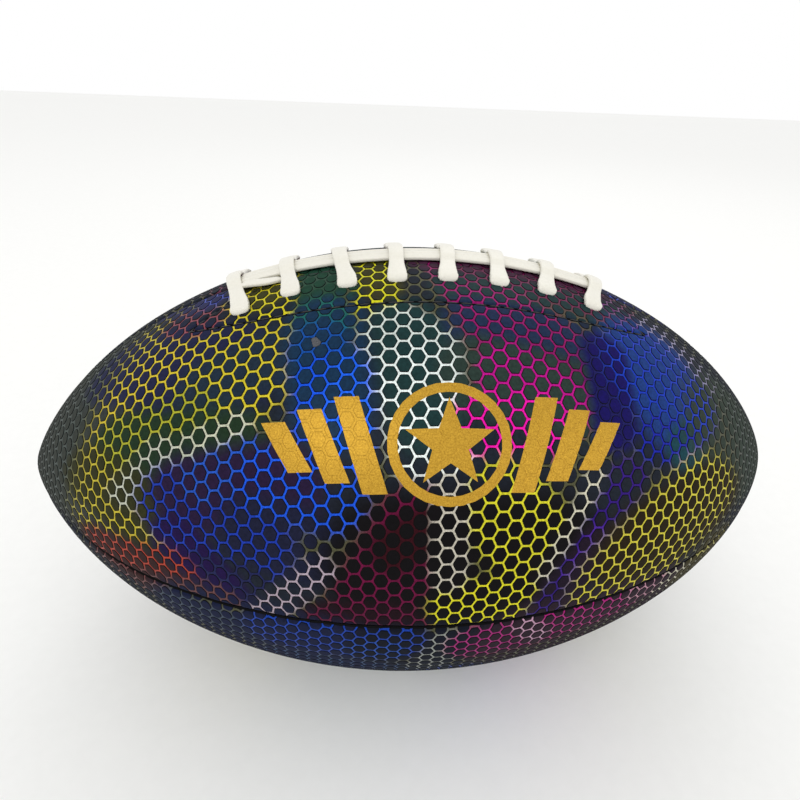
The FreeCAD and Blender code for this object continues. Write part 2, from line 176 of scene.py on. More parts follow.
@dataclass(frozen=True)
class Outline:
    """Half profile of three tangent arcs, turned about the X axis."""

    half_length: float
    max_radius: float
    end_radius: float = 147.0
    nose_radius: float = 14.0
    nose_angle: float = math.radians(33.0)

    @property
    def nose_x(self) -> float:
        """X of the nose arc's centre."""
        return self.half_length - self.nose_radius

    @property
    def end_x(self) -> float:
        """X of the end arc's centre."""
        return self.nose_x - (self.end_radius - self.nose_radius) * math.cos(self.nose_angle)

    @property
    def end_r(self) -> float:
        """Height of the end arc's centre."""
        return -(self.end_radius - self.nose_radius) * math.sin(self.nose_angle)

    @property
    def main_radius(self) -> float:
        """Radius of the main arc."""
        drop = self.end_r - self.max_radius
        return (self.end_radius ** 2 - self.end_x ** 2 - drop ** 2) / (2 * (drop + self.end_radius))

    @property
    def end_join(self) -> float:
        """Lean of the normal where the main arc meets the end arc."""
        return math.atan2(self.end_x, self.end_r - self.max_radius + self.main_radius)

    @property
    def nose_join(self) -> float:
        """Lean of the normal where the end arc meets the nose arc."""
        return math.pi / 2 - self.nose_angle

    @property
    def half_seam(self) -> float:
        """Length of a seam from the middle to a tip."""
        return (self.main_radius * self.end_join + self.end_radius * (self.nose_join - self.end_join)
                + self.nose_radius * (math.pi / 2 - self.nose_join))

    def lean_at(self, length: Array) -> Array:
        """Finds the lean of the normal along a seam.

        Args:
            length: Distance along the seam from the middle.

        Returns:
            Lean in radians, negative towards -X.
        """
        side, rest = np.sign(length), np.abs(length)
        main = self.main_radius * self.end_join
        end = main + self.end_radius * (self.nose_join - self.end_join)
        on_end = self.end_join + (rest - main) / self.end_radius
        lean = np.where(rest <= main, rest / self.main_radius, on_end)
        lean = np.where(rest > end, self.nose_join + (rest - end) / self.nose_radius, lean)
        return side * np.minimum(lean, math.pi / 2)

    def lean_at_x(self, x: Array) -> Array:
        """Finds the lean of the normal at a place along the ball's axis.

        Args:
            x: Place along the axis.

        Returns:
            Lean in radians, negative towards -X.
        """
        side, rest = np.sign(x), np.minimum(np.abs(x), self.half_length)
        join_x = self.main_radius * math.sin(self.end_join)
        nose_x = self.end_x + self.end_radius * math.sin(self.nose_join)
        main = np.arcsin(np.clip(rest / self.main_radius, 0, 1))
        end = np.arcsin(np.clip((rest - self.end_x) / self.end_radius, 0, 1))
        nose = np.arcsin(np.clip((rest - self.nose_x) / self.nose_radius, 0, 1))
        return side * np.where(rest <= join_x, main, np.where(rest <= nose_x, end, nose))

    def profile(self, lean: Array, depth: Array | float = 0.0) -> tuple[Array, Array]:
        """Finds the outline at a lean of the normal.

        Args:
            lean: Lean in radians.
            depth: Distance below the surface.

        Returns:
            Place along the axis, and distance from it.
        """
        side, a = np.sign(lean), np.abs(lean)
        x = (self.main_radius - depth) * np.sin(a)
        r = self.max_radius - self.main_radius + (self.main_radius - depth) * np.cos(a)
        on_end = a > self.end_join
        x = np.where(on_end, self.end_x + (self.end_radius - depth) * np.sin(a), x)
        r = np.where(on_end, self.end_r + (self.end_radius - depth) * np.cos(a), r)
        on_nose = a > self.nose_join
        x = np.where(on_nose, self.nose_x + (self.nose_radius - depth) * np.sin(a), x)
        r = np.where(on_nose, (self.nose_radius - depth) * np.cos(a), r)
        return side * x, r

    def point(self, x: Array, angle: Array, depth: Array | float = 0.0) -> Array:
        """Position on the ball.

        Args:
            x: Place along the axis.
            angle: Radians from the lace seam towards the valve side.
            depth: Distance below the surface.

        Returns:
            Positions, one row each.
        """
        px, r = self.profile(self.lean_at_x(x), depth)
        return np.stack([px, -r * np.sin(angle), r * np.cos(angle)], -1)

    def unroll(self, u: Array, v: Array) -> tuple[Array, Array]:
        """Lays a flat panel on the ball without stretching it much.

        Args:
            u: Distance along the panel's middle line.
            v: Distance square to it.

        Returns:
            Place along the axis, and radians from the panel's middle line.
        """
        lean = self.lean_at(u)
        x, r = self.profile(lean)
        cosine = np.maximum(np.cos(lean), 1e-6)
        bend = np.maximum(r / cosine, 1e-6)
        turn = v / bend
        return (x - bend * (1 - np.cos(turn)) * np.sin(lean),
                np.arctan2(np.sin(turn), cosine * np.cos(turn)))

    def panel_half_width(self, u: Array) -> Array:
        """Finds how wide a flat quarter panel is.

        Args:
            u: Distance along its middle line.

        Returns:
            Half the width, 0 past the tips.
        """
        lean = self.lean_at(u)
        r = self.profile(lean)[1]
        cosine = np.maximum(np.cos(lean), 1e-6)
        return np.where(np.abs(u) >= self.half_seam, 0.0, r / cosine * np.arctan(cosine))

    def lace_frame(self, x: float, arc: Array, height: Array) -> tuple[Array, Array, Array]:
        """Places in the plane square to the lace seam at x.

        Args:
            x: Where the plane crosses the seam.
            arc: Distance from the seam along the surface, towards the valve side.
            height: Height above the surface.

        Returns:
            Positions, outward normals, and the direction along the seam.
        """
        lean = float(self.lean_at_x(np.array(x)))
        top_x, top_r = (float(value) for value in self.profile(np.array(lean)))
        bend = top_r / math.cos(lean)
        turn = np.asarray(arc, float) / bend
        up = np.array([math.sin(lean), 0.0, math.cos(lean)])
        side = np.array([0.0, -1.0, 0.0])
        normal = up * np.cos(turn)[..., None] + side * np.sin(turn)[..., None]
        top = np.array([top_x, 0.0, top_r])
        place = top - up * bend + normal * (bend + np.asarray(height, float))[..., None]
        return place, normal, np.array([math.cos(lean), 0.0, -math.sin(lean)])


def ball_outline() -> Outline:
    """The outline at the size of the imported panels."""
    low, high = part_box("panel_front_lower")
    return Outline(half_length=round(high.x / MM), max_radius=round(-low.z / MM, 1))


# ------------------------------------------------------------------ colours of the foil

@dataclass(frozen=True)
class Streak:
    """A soft-edged band of colour between two places on the ball (x in mm, degrees from the lace)."""

    colour: str
    start: tuple[float, float]
    end: tuple[float, float]
    width: float
    blur: float = 0.5


# Millimetres round the ball that one degree stands for in the streaks.
DEGREE_LENGTH = 1.25

# The holographic film breaks white light into bands that run across the panels; the pale, near-white streaks
# among them are part film colour and part painted highlight. Painted first to last.
FOIL_GROUND = "#4a4a34"
FOIL_AND_HIGHLIGHT_STREAKS = (
    Streak("#7f7d2a", (-97, 34), (-106, 68), 13),
    Streak("#b8aa2c", (-82, 20), (-92, 74), 18),
    Streak("#cdb82e", (-66, 27), (-80, 40), 18),
    Streak("#c8b82c", (-48, 16), (-50, 34), 14),
    Streak("#a5a52c", (-84, 47), (-66, 43), 11),
    Streak("#85434e", (-72, 12), (-64, 15), 7),
    Streak("#30409a", (-64, -2), (-62, 5), 6),
    Streak("#cabf1c", (-44, 4), (-44, 16), 7),
    Streak("#153f2c", (-30, -4), (-30, 18), 7),
    Streak("#145a58", (-30, 22), (-28, 24), 8),
    Streak("#0f4a9a", (-30, 30), (-29, 34), 9),
    Streak("#104cd0", (-27, 38), (-27, 46), 9),
    Streak("#1a5cdc", (-20, 36), (-22, 50), 7),
    Streak("#c8c41c", (-14, -4), (-14, 20), 6),
    # Painted highlights: these pale, near-white streaks are part film colour, part painted highlight.
    Streak("#c9d2cc", (-9, 28), (-2, 32), 10),
    Streak("#dfe8e4", (-4, 38), (0, 50), 11),
    Streak("#8a0f5e", (4, 0), (10, 16), 6),
    Streak("#640e42", (16, 2), (56, 8), 13),
    Streak("#8a0e60", (20, 22), (36, 32), 13),
    Streak("#b40e84", (20, 36), (34, 42), 9),
    Streak("#e312a2", (12, 46), (28, 46), 8),
    Streak("#161452", (48, 28), (50, 46), 7),
    Streak("#6b3d70", (58, 8), (66, 18), 6),
    Streak("#8d88a6", (74, 12), (92, 24), 7),
    Streak("#0f35b0", (66, 29), (74, 37), 17),
    Streak("#12209a", (64, 48), (76, 50), 8),
    # Painted highlights: pale grey streaks such as these are part film colour, part painted highlight.
    Streak("#bcbfa8", (-50, 45), (-64, 49), 4),
    Streak("#b9bcac", (-73, 51), (-86, 62), 6),
    Streak("#1a36a0", (-68, 64), (-50, 70), 14),
    Streak("#2350b4", (-48, 53), (-60, 57), 7),
    Streak("#1950d0", (-42, 57), (-26, 60), 9),
    Streak("#1a1f4c", (-62, 80), (-50, 82), 8),
    Streak("#630a38", (-16, 82), (-4, 66), 12),
    Streak("#5a0c34", (-28, 90), (-6, 90), 8),
    Streak("#30040f", (-10, 70), (-2, 66), 7, blur=0.9),
    Streak("#a899a6", (-46, 89), (-30, 75), 4.5),
    Streak("#c9c42a", (18, 62), (28, 72), 12),
    Streak("#d0cb26", (8, 84), (20, 84), 9),
    Streak("#b8b2a4", (4, 59), (4, 76), 5),
    Streak("#c0bca8", (44, 58), (32, 78), 4),
    Streak("#2d1070", (54, 58), (34, 88), 7),
    Streak("#45208a", (46, 70), (40, 78), 4),
    Streak("#c5bb3a", (58, 84), (84, 66), 18),
    Streak("#a33a28", (-98, 84), (-74, 82), 9),
    Streak("#5e3a3c", (-84, 92), (-60, 88), 7),
)
FOIL_AND_HIGHLIGHT_STREAKS_UNDER = (
    Streak("#6a4040", (-100, 92), (-84, 94), 8),
    Streak("#2c3c50", (-76, 98), (-54, 100), 9),
    Streak("#153c9c", (-44, 96), (-10, 96), 10),
    Streak("#1848a0", (-20, 100), (-12, 100), 6),
    Streak("#123c6c", (-40, 116), (-14, 118), 14),
    Streak("#8f938e", (6, 96), (0, 110), 6),
    Streak("#9c1f70", (14, 98), (62, 94), 9),
    Streak("#b890a8", (28, 92), (34, 99), 4),
    Streak("#a87a8c", (68, 93), (76, 95), 6),
    Streak("#b8b4a0", (84, 91), (80, 98), 6),
    Streak("#9a9450", (96, 88), (104, 92), 8),
    Streak("#145a58", (-60, 138), (-30, 132), 14),
    Streak("#124cc4", (10, 124), (36, 136), 14),
    Streak("#c01086", (56, 124), (44, 148), 13),
    # Painted highlight: this near-white streak is part film colour, part painted highlight.
    Streak("#e4ebe4", (-4, 146), (-26, 158), 12),
    Streak("#b1a42c", (-76, 140), (-60, 168), 18),
    Streak("#6e1048", (10, 172), (44, 168), 14),
    Streak("#c5bb3a", (84, 140), (70, 166), 16),
    Streak("#2d1070", (-30, 178), (-6, 170), 8),
)
# The film stops short of the pointed ends, where the cover is plain.
NOSE_TINT = "#303c37"
NOSE_STARTS = ((-88, 12), (-114, 84), (92, 24), (113, 78))
NOSE_LEAD = 6
NOSE_FADE = 14

# The clear coat adds a little light to the dark cells, so their tints are taken down by this share.
CELL_DIMMING = 0.85
CELL_GROUND = "#1b212c"
CELL_STREAKS = (
    Streak("#333833", (-108, 20), (-120, 60), 30),
    Streak("#1d2142", (-88, 22), (-56, 32), 16),
    Streak("#1d2c3c", (-60, 36), (-40, 30), 9),
    Streak("#1e3320", (-86, 48), (-52, 50), 11),
    Streak("#2f3016", (-84, 66), (-98, 58), 14),
    Streak("#2a2c50", (-80, -4), (-66, 4), 9),
    Streak("#3a3a18", (-52, 0), (-46, 10), 8),
    Streak("#1a4030", (-34, 0), (-28, 14), 9),
    Streak("#38371a", (-16, 0), (-12, 14), 6),
    Streak("#46243c", (2, 0), (52, 0), 9),
    Streak("#1f3638", (8, 14), (58, 14), 7),
    Streak("#12304c", (-28, 24), (-26, 42), 11),
    Streak("#1a3636", (-6, 26), (-2, 44), 10),
    Streak("#1e2c4a", (12, 24), (38, 26), 9),
    Streak("#2a3a34", (12, 36), (40, 40), 11),
    Streak("#1b3a7c", (66, 26), (74, 38), 17),
    Streak("#140c58", (50, 28), (50, 46), 7),
    Streak("#17424c", (82, 46), (76, 50), 8),
    Streak("#2f3a32", (100, 40), (116, 56), 24),
    Streak("#241636", (-64, 60), (-40, 58), 12),
    Streak("#191c34", (-46, 68), (-34, 70), 11),
    Streak("#1c0a40", (-70, 72), (-58, 84), 8),
    Streak("#0b080b", (-10, 74), (28, 74), 20),
    Streak("#1c0812", (-30, 88), (-10, 88), 7),
    Streak("#1c1022", (46, 72), (34, 86), 7),
    Streak("#231a08", (64, 76), (88, 68), 18),
    Streak("#352020", (-98, 84), (-72, 90), 11),
    Streak("#141b38", (-64, 100), (-30, 104), 20),
    Streak("#0d1220", (-12, 98), (10, 98), 12),
    Streak("#281b26", (30, 100), (70, 100), 18),
    Streak("#3f3a1e", (98, 90), (92, 98), 10),
    Streak("#12304c", (-40, 136), (0, 140), 22),
    Streak("#1b3a7c", (34, 134), (56, 150), 18),
    Streak("#46243c", (0, 174), (50, 170), 16),
    Streak("#3a3a18", (-74, 150), (-56, 170), 16),
)


def paint(x: Array, degrees: Array, ground: str, streaks: Iterable[Streak]) -> Array:
    """Colours places on the ball with soft streaks.

    Args:
        x: Place along the axis.
        degrees: Degrees from the lace seam, from 0 to 180.
        ground: Colour under the streaks.
        streaks: Streaks in painting order.

    Returns:
        Linear colours, one row for each place.
    """
    colours = np.tile(np.array(linear(ground)), (len(x), 1))
    places = np.stack([x, degrees * DEGREE_LENGTH], -1)
    for streak in streaks:
        start = np.array([streak.start[0], streak.start[1] * DEGREE_LENGTH])
        way = np.array([streak.end[0], streak.end[1] * DEGREE_LENGTH]) - start
        share = np.clip((places - start) @ way / max(way @ way, 1e-6), 0, 1)
        distance = np.linalg.norm(places - start - share[:, None] * way, axis=1) / streak.width
        cover = smooth((1 + streak.blur / 2 - distance) / streak.blur)
        colours += cover[:, None] * (np.array(linear(streak.colour)) - colours)
    return colours


def nose_share(x: Array, degrees: Array) -> Array:
    """Finds how far each place lies inside the plain ends.

    Args:
        x: Place along the axis.
        degrees: Degrees from the lace seam, from 0 to 180.

    Returns:
        Shares from 0 to 1.
    """
    left, right = NOSE_STARTS[:2], NOSE_STARTS[2:]
    left_edge = np.interp(degrees, [left[0][1], left[1][1]], [left[0][0], left[1][0]])
    right_edge = np.interp(degrees, [right[0][1], right[1][1]], [right[0][0], right[1][0]])
    inside = np.maximum(left_edge - x, x - right_edge)
    return smooth((inside + NOSE_LEAD) / NOSE_FADE)


def foil_colour_and_highlight(x: Array, angle: Array) -> Array:
    """Colours the foil lines, with the painted highlights of the pale streaks.

    Args:
        x: Place along the axis.
        angle: Radians from the lace seam.

    Returns:
        Linear colours, one row for each place.
    """
    x, degrees = print_place(x, angle)
    colours = paint(x, degrees, FOIL_GROUND, FOIL_AND_HIGHLIGHT_STREAKS)
    under = paint(x, degrees, FOIL_GROUND, FOIL_AND_HIGHLIGHT_STREAKS_UNDER)
    colours = np.where((degrees < 90)[:, None], colours, under)
    return colours + nose_share(x, degrees)[:, None] * (np.array(linear(NOSE_TINT)) - colours)


def cell_tint(x: Array, angle: Array) -> Array:
    """Colour of the cells between the foil lines."""
    x, degrees = print_place(x, angle)
    return paint(x, degrees, CELL_GROUND, CELL_STREAKS) * CELL_DIMMING


def print_place(x: Array, angle: Array) -> tuple[Array, Array]:
    """Finds the place on the printed sheet: the back half repeats the front half, turned end for end.

    Args:
        x: Place along the axis.
        angle: Radians from the lace seam.

    Returns:
        Place along the printed sheet, and degrees from the lace seam, from 0 to 180.
    """
    degrees = np.degrees(angle) % 360
    back = degrees > 180
    return np.where(back, -x, x), np.where(back, 360 - degrees, degrees)


# ------------------------------------------------------------------ finishes

@dataclass(frozen=True)
class Coat:
    """A clear top coat."""

    weight: float
    roughness: float


@dataclass(frozen=True)
class Finish:
    """A surface with a fine grain in its colour and relief.

    Attributes:
        name: Material name: what it is and how it was made.
        colour: sRGB hex colour, or the dark of the two grain colours.
        grain_colour: The light of the two grain colours.
        grain: Grain size in millimetres.
        relief: Height of the grain in millimetres.
        roughness: Principled roughness.
        metallic: Principled metallic.
        specular: Principled specular level.
        coat: Clear coat, or None.
        attribute: Vertex colour that replaces both colours, or an empty string.
        contrast: Lightness change of the grain where an attribute gives the colour.
    """

    name: str
    colour: str = "#808080"
    grain_colour: str = "#909090"
    grain: float = 0.4
    relief: float = 0.02
    roughness: float = 0.5
    metallic: float = 0.0
    specular: float = 0.5
    coat: Coat | None = None
    attribute: str = ""
    contrast: float = 0.25

    def tint(self, tree: bpy.types.NodeTree, grain: bpy.types.NodeSocket) -> bpy.types.NodeSocket:
        """Builds the surface colour with its grain.

        Args:
            tree: The material's node tree.
            grain: The grain's value, from 0 to 1.

        Returns:
            The colour.
        """
        if not self.attribute:
            mix = add(tree, "ShaderNodeMix", {"Factor": grain}, data_type="RGBA")
            mix.inputs[6].default_value = rgba(self.colour)
            mix.inputs[7].default_value = rgba(self.grain_colour)
            return mix.outputs[2]
        painted = add(tree, "ShaderNodeAttribute", attribute_name=self.attribute)
        gain = add(tree, "ShaderNodeMapRange", {"Value": grain, "From Min": 0.3, "From Max": 0.7,
                                                "To Min": 1 - self.contrast, "To Max": 1 + self.contrast})
        scaled = add(tree, "ShaderNodeVectorMath", {0: painted.outputs["Color"], "Scale": gain.outputs[0]},
                     operation="SCALE")
        return scaled.outputs[0]

    def make(self) -> bpy.types.Material:
        """Builds the material.

        Returns:
            The new material.
        """
        material = bpy.data.materials.new(self.name)
        material.use_nodes = True
        tree = material.node_tree
        tree.nodes.clear()
        place = add(tree, "ShaderNodeTexCoord").outputs["Object"]
        noise = add(tree, "ShaderNodeTexNoise",
                    {"Vector": place, "Scale": 1 / (self.grain * MM), "Detail": 2.0, "Roughness": 0.6})
        bump = add(tree, "ShaderNodeBump",
                   {"Height": noise.outputs[0], "Strength": 1.0, "Distance": self.relief * MM})
        shader = add(tree, "ShaderNodeBsdfPrincipled",
                     {"Base Color": self.tint(tree, noise.outputs[0]), "Roughness": self.roughness,
                      "Metallic": self.metallic, "Specular IOR Level": self.specular,
                      "Normal": bump.outputs[0]})
        if self.coat:
            shader.inputs["Coat Weight"].default_value = self.coat.weight
            shader.inputs["Coat Roughness"].default_value = self.coat.roughness
        add(tree, "ShaderNodeOutputMaterial", {"Surface": shader.outputs[0]})
        return material


@dataclass(frozen=True)
class Weave(Finish):
    """A plain weave: two crossed sets of threads."""

    thread: float = 0.5

    def make(self) -> bpy.types.Material:
        """Builds the material with its threads as relief.

        Returns:
            The new material.
        """
        material = super().make()
        tree = material.node_tree
        place = tree.nodes["Texture Coordinate"].outputs["Object"]
        waves = [add(tree, "ShaderNodeTexWave", {"Vector": place, "Scale": math.pi / (10 * self.thread * MM)},
                     bands_direction=way) for way in ("X", "Z")]
        weave = add(tree, "ShaderNodeMath", {0: waves[0].outputs[1], 1: waves[1].outputs[1]},
                    operation="MAXIMUM")
        bump = add(tree, "ShaderNodeBump",
                   {"Height": weave.outputs[0], "Strength": 0.8, "Distance": 0.15 * self.thread * MM})
        tree.links.new(bump.outputs[0], tree.nodes["Principled BSDF"].inputs["Normal"])
        return material


# Holographic film hot-pressed into the channels between the cells: bright metal with a fine dotted emboss.
FOIL = Finish("holographic_film_pressed", attribute="foil_colour_and_highlight", grain=0.4, relief=0.03, roughness=0.4,
              metallic=0.5, specular=0.0, coat=Coat(0.14, 0.32), contrast=0.35)
# Tinted polyurethane cells: dark, satin, with a faint mottle.
CELL = Finish("polyurethane_cell_moulded", attribute="cell_tint", grain=0.9, relief=0.02, roughness=0.5,
              specular=0.0, coat=Coat(0.14, 0.32), contrast=0.2)
# Black in the moulded step round each cell, part print and part painted shade of the step; also painted shade
# on the turned-in sewing edges in the seam grooves and on the leaf line's crease.
STEP = Finish("polyurethane_step_print_and_painted_shade", "#050506", "#0a0a0c", 0.6, 0.01, 0.6, specular=0.0,
              coat=Coat(0.1, 0.4))
# Gold hot-stamping foil: sparkles because it follows the film's fine emboss.
GOLD = Finish("gold_hot_stamped_foil", "#7c560c", "#e4b540", 0.38, 0.03, 0.38, metallic=0.6, specular=0.2)
# Extruded PVC lace: milky white, satin, pebbled where it is pressed.
LACE = Finish("pvc_lace_extruded", "#dbd8cb", "#e8e5da", 0.8, 0.06, 0.4, coat=Coat(0.25, 0.25))
# Bonded polyester thread, waxed: near black with a dull shine.
THREAD = Finish("polyester_thread_waxed", "#0b0c0e", "#1d1f22", 0.25, 0.03, 0.5)
# Moulded valve rubber: grey with paler specks of filler.
VALVE_RUBBER = Finish("valve_rubber_moulded", "#121419", "#5c5e64", 0.3, 0.03, 0.6)
# Moulded butyl rubber of the bladder: black and dull.
BLADDER_RUBBER = Finish("butyl_rubber_moulded", "#101012", "#1b1b1d", 1.2, 0.05, 0.7)
# Split hide of the facings and the tongue: brown, matt, fibrous.
SPLIT_HIDE = Finish("split_hide_cut", "#2b211b", "#46362b", 0.7, 0.08, 0.8)
# Woven cotton of the linings: unbleached, matt.
COTTON = Weave("cotton_lining_woven", "#b8b09c", "#d6cfbd", 0.5, 0.04, 0.9, thread=0.6)


# ------------------------------------------------------------------ cover panels

# More than a cell's middle to its farthest corner, for telling which cells a shape may cross.
CELL_REACH = 4.5
# Room for one rounded coordinate in the number that tells a flat pattern point from the others.
KEY_BITS = 21


class Skin(IntEnum):
    """Material slots of a panel."""

    FOIL = 0
    # Black of the steps round the cells, part print and part painted shade, and the painted shade in the
    # grooves.
    STEP = 1
    CELL = 2
    GOLD = 3


@dataclass(frozen=True)
class Honeycomb:
    """The moulded pattern: six-sided cells whose flat sides run along the ball."""

    column: float = 3.67
    row: float = 4.8
    line: float = 0.58
    step: float = 0.22
    corner: float = 0.09
    dark_corner: float = 0.17
    dark_below: float = 0.2
    relief: float = 0.13

    def outer(self, u: float, v: float) -> list[tuple[float, float]]:
        """Finds the six corners of the cell's share of the sheet.

        Args:
            u: Middle of the cell along the panel.
            v: Middle of the cell across the panel.

        Returns:
            Corners of (u, v), anticlockwise.
        """
        wide, high = self.column / 1.5, self.row / 2
        ring = ((1, 0), (0.5, 1), (-0.5, 1), (-1, 0), (-0.5, -1), (0.5, -1))
        return [(u + wide * a, v + high * b) for a, b in ring]

    def corner_cuts(self, brightness: Array) -> Array:
        """How much of each side the corners take, which is more where the film is dark."""
        return self.corner + self.dark_corner * smooth((self.dark_below - brightness) / self.dark_below)

    def rounded(self, u: float, v: float, inset: float, corner: float) -> list[tuple[float, float]]:
        """Finds the outline of the cell with cut corners.

        Args:
            u: Middle of the cell along the panel.
            v: Middle of the cell across the panel.
            inset: Distance from the edge of the cell's share of the sheet.
            corner: Share of each side that a corner takes.

        Returns:
            Twelve points of (u, v), two on each side.
        """
        scale = 1 - 2 * inset / self.row
        corners = [((a - u) * scale + u, (b - v) * scale + v) for a, b in self.outer(u, v)]
        points = []
        for (u1, v1), (u2, v2) in zip(corners, corners[1:] + corners[:1]):
            for share in (corner, 1 - corner):
                points.append((u1 + (u2 - u1) * share, v1 + (v2 - v1) * share))
        return points

    def faces(self, u: float, v: float, corner: float) -> list[tuple[int, Polygon]]:
        """All faces of one cell.

        Args:
            u: Middle of the cell along the panel.
            v: Middle of the cell across the panel.
            corner: Share of each side that a corner takes.

        Returns:
            Pairs of material slot and polygon of (u, v, depth).
        """
        rim = [(a, b, self.relief) for a, b in self.outer(u, v)]
        foot = [(a, b, self.relief) for a, b in self.rounded(u, v, self.line / 2, corner)]
        top = [(a, b, 0.0) for a, b in self.rounded(u, v, self.line / 2 + self.step, corner)]
        faces = [(Skin.CELL, top)]
        for side in range(len(rim)):
            first, last = 2 * side, 2 * side + 1
            following = (last + 1) % len(foot)
            ahead = rim[(side + 1) % len(rim)]
            faces.append((Skin.FOIL, [rim[side], ahead, foot[last], foot[first]]))
            faces.append((Skin.FOIL, [ahead, foot[following], foot[last]]))
        # The step round each cell is black: part printed border, part painted shade of the step.
        for here in range(len(foot)):
            there = (here + 1) % len(foot)
            faces.append((Skin.STEP, [foot[here], foot[there], top[there], top[here]]))
        return faces


class Feature:
    """A shape that the panel's surface follows, given by a signed distance in the flat pattern."""

    def __init__(self, measure: Measure, levels: Sequence[float], hole: bool = False) -> None:
        """Keeps the shape.

        Args:
            measure: Signed distance as a function of u and v.
            levels: Distances at which faces are divided.
            hole: Whether what lies below 0 is cut out.
        """
        self.measure = measure
        self.levels = levels
        self.hole = hole
        self.reach = max(abs(level) for level in levels) + CELL_REACH

    def near(self, u: Array, v: Array) -> Array:
        """Which cells the feature may cross."""
        return np.abs(self.measure(u, v)) < self.reach

    def divide(self, faces: list[tuple[int, Polygon]]) -> list[tuple[int, Polygon]]:
        """Divides faces along each level.

        Args:
            faces: Pairs of material slot and polygon.

        Returns:
            The divided faces, without what a hole cuts out.
        """
        for level in self.levels:
            divided = []
            for slot, polygon in faces:
                above, below = cut(polygon, self.measure, level)
                if len(above) > 2:
                    divided.append((slot, above))
                if len(below) > 2 and not (self.hole and level == 0):
                    divided.append((slot, below))
            faces = divided
        return faces


def cut(polygon: Polygon, measure: Measure, level: float) -> tuple[Polygon, Polygon]:
    """Cuts a polygon where a measure passes a level.

    Args:
        polygon: Points of (u, v, depth).
        measure: Function of u and v.
        level: Value to cut at.

    Returns:
        The part at or above the level, and the part below it.
    """
    corners = np.array(polygon)
    values = measure(corners[:, 0], corners[:, 1]) - level
    values = np.where(np.abs(values) < 1e-5, 0.0, values)
    if (values >= 0).all():
        return polygon, []
    if (values <= 0).all():
        return [], polygon
    above, below = [], []
    for i in range(len(polygon)):
        j = (i + 1) % len(polygon)
        if values[i] >= 0:
            above.append(polygon[i])
        if values[i] <= 0:
            below.append(polygon[i])
        if values[i] * values[j] < 0:
            share = values[i] / (values[i] - values[j])
            point = tuple(corners[i] + (corners[j] - corners[i]) * share)
            above.append(point)
            below.append(point)
    return above, below


@dataclass(frozen=True)
class Emblem:
    """A star in a ring between swept bars, hot-stamped on the front panel."""

    u: float = 4.0
    v: float = 6.5
    ring_outer: float = 16.0
    ring_inner: float = 13.4
    ring_segments: int = 30
    star_outer: float = 12.0
    star_inner: float = 4.9
    bar_starts: tuple[float, ...] = (19.5, 29.0, 38.5)
    bar_width: float = 6.4
    bar_heights: tuple[float, ...] = (25.0, 19.0, 13.0)
    bar_sweep: float = 7.0
    star_points: int = 5

    def parts(self) -> list[list[tuple[float, float]]]:
        """Draws the emblem.

        Returns:
            Convex outlines of (u, v), anticlockwise.
        """
        def round_point(radius: float, turn: float) -> tuple[float, float]:
            """A point at a radius and a turn from the emblem's top."""
            return self.u + radius * math.sin(turn), self.v - radius * math.cos(turn)

        found = []
        for i in range(self.star_points):
            tip, step = 2 * math.pi * i / self.star_points, math.pi / self.star_points
            found.append([(self.u, self.v), round_point(self.star_inner, tip - step),
                          round_point(self.star_outer, tip), round_point(self.star_inner, tip + step)])
        for i in range(self.ring_segments):
            a, b = (2 * math.pi * (i + k) / self.ring_segments for k in (0, 1))
            found.append([round_point(self.ring_outer, a), round_point(self.ring_outer, b),
                          round_point(self.ring_inner, b), round_point(self.ring_inner, a)])
        for side in (-1, 1):
            for start, height in zip(self.bar_starts, self.bar_heights):
                near, far = self.u + side * start, self.u + side * (start + self.bar_width)
                lean, half = side * self.bar_sweep / 2, height / 2
                bar = [(near - lean, self.v + half), (far - lean, self.v + half),
                       (far + lean, self.v - half), (near + lean, self.v - half)]
                found.append(bar[::-side])
        return found

    def near(self, u: Array, v: Array) -> Array:
        """Which cells the emblem may cross."""
        reach = self.bar_starts[-1] + self.bar_width + self.bar_sweep + CELL_REACH
        return (np.abs(u - self.u) < reach) & (np.abs(v - self.v) < self.ring_outer + CELL_REACH)

    def divide(self, faces: list[tuple[int, Polygon]]) -> list[tuple[int, Polygon]]:
        """Cuts faces along the emblem's outline and makes the inner ones gold.

        Args:
            faces: Pairs of material slot and polygon.

        Returns:
            The divided faces.
        """
        for part in self.parts():
            low, high = np.min(part, axis=0), np.max(part, axis=0)
            divided = []
            for slot, polygon in faces:
                us, vs = [p[0] for p in polygon], [p[1] for p in polygon]
                apart = max(us) < low[0] or min(us) > high[0] or max(vs) < low[1] or min(vs) > high[1]
                if slot == Skin.GOLD or apart:
                    divided.append((slot, polygon))
                    continue
                outer, rest = [], polygon
                for (u1, v1), (u2, v2) in zip(part, part[1:] + part[:1]):
                    if len(rest) < 3:
                        break
                    rest, beyond = cut(rest, lambda u, v: (u2 - u1) * (v - v1) - (v2 - v1) * (u - u1), 0.0)
                    outer.append(beyond)
                if len(rest) < 3:
                    divided.append((slot, polygon))
                    continue
                divided += [(slot, piece) for piece in outer if len(piece) > 2]
                divided.append((Skin.GOLD, rest))
            faces = divided
        return faces


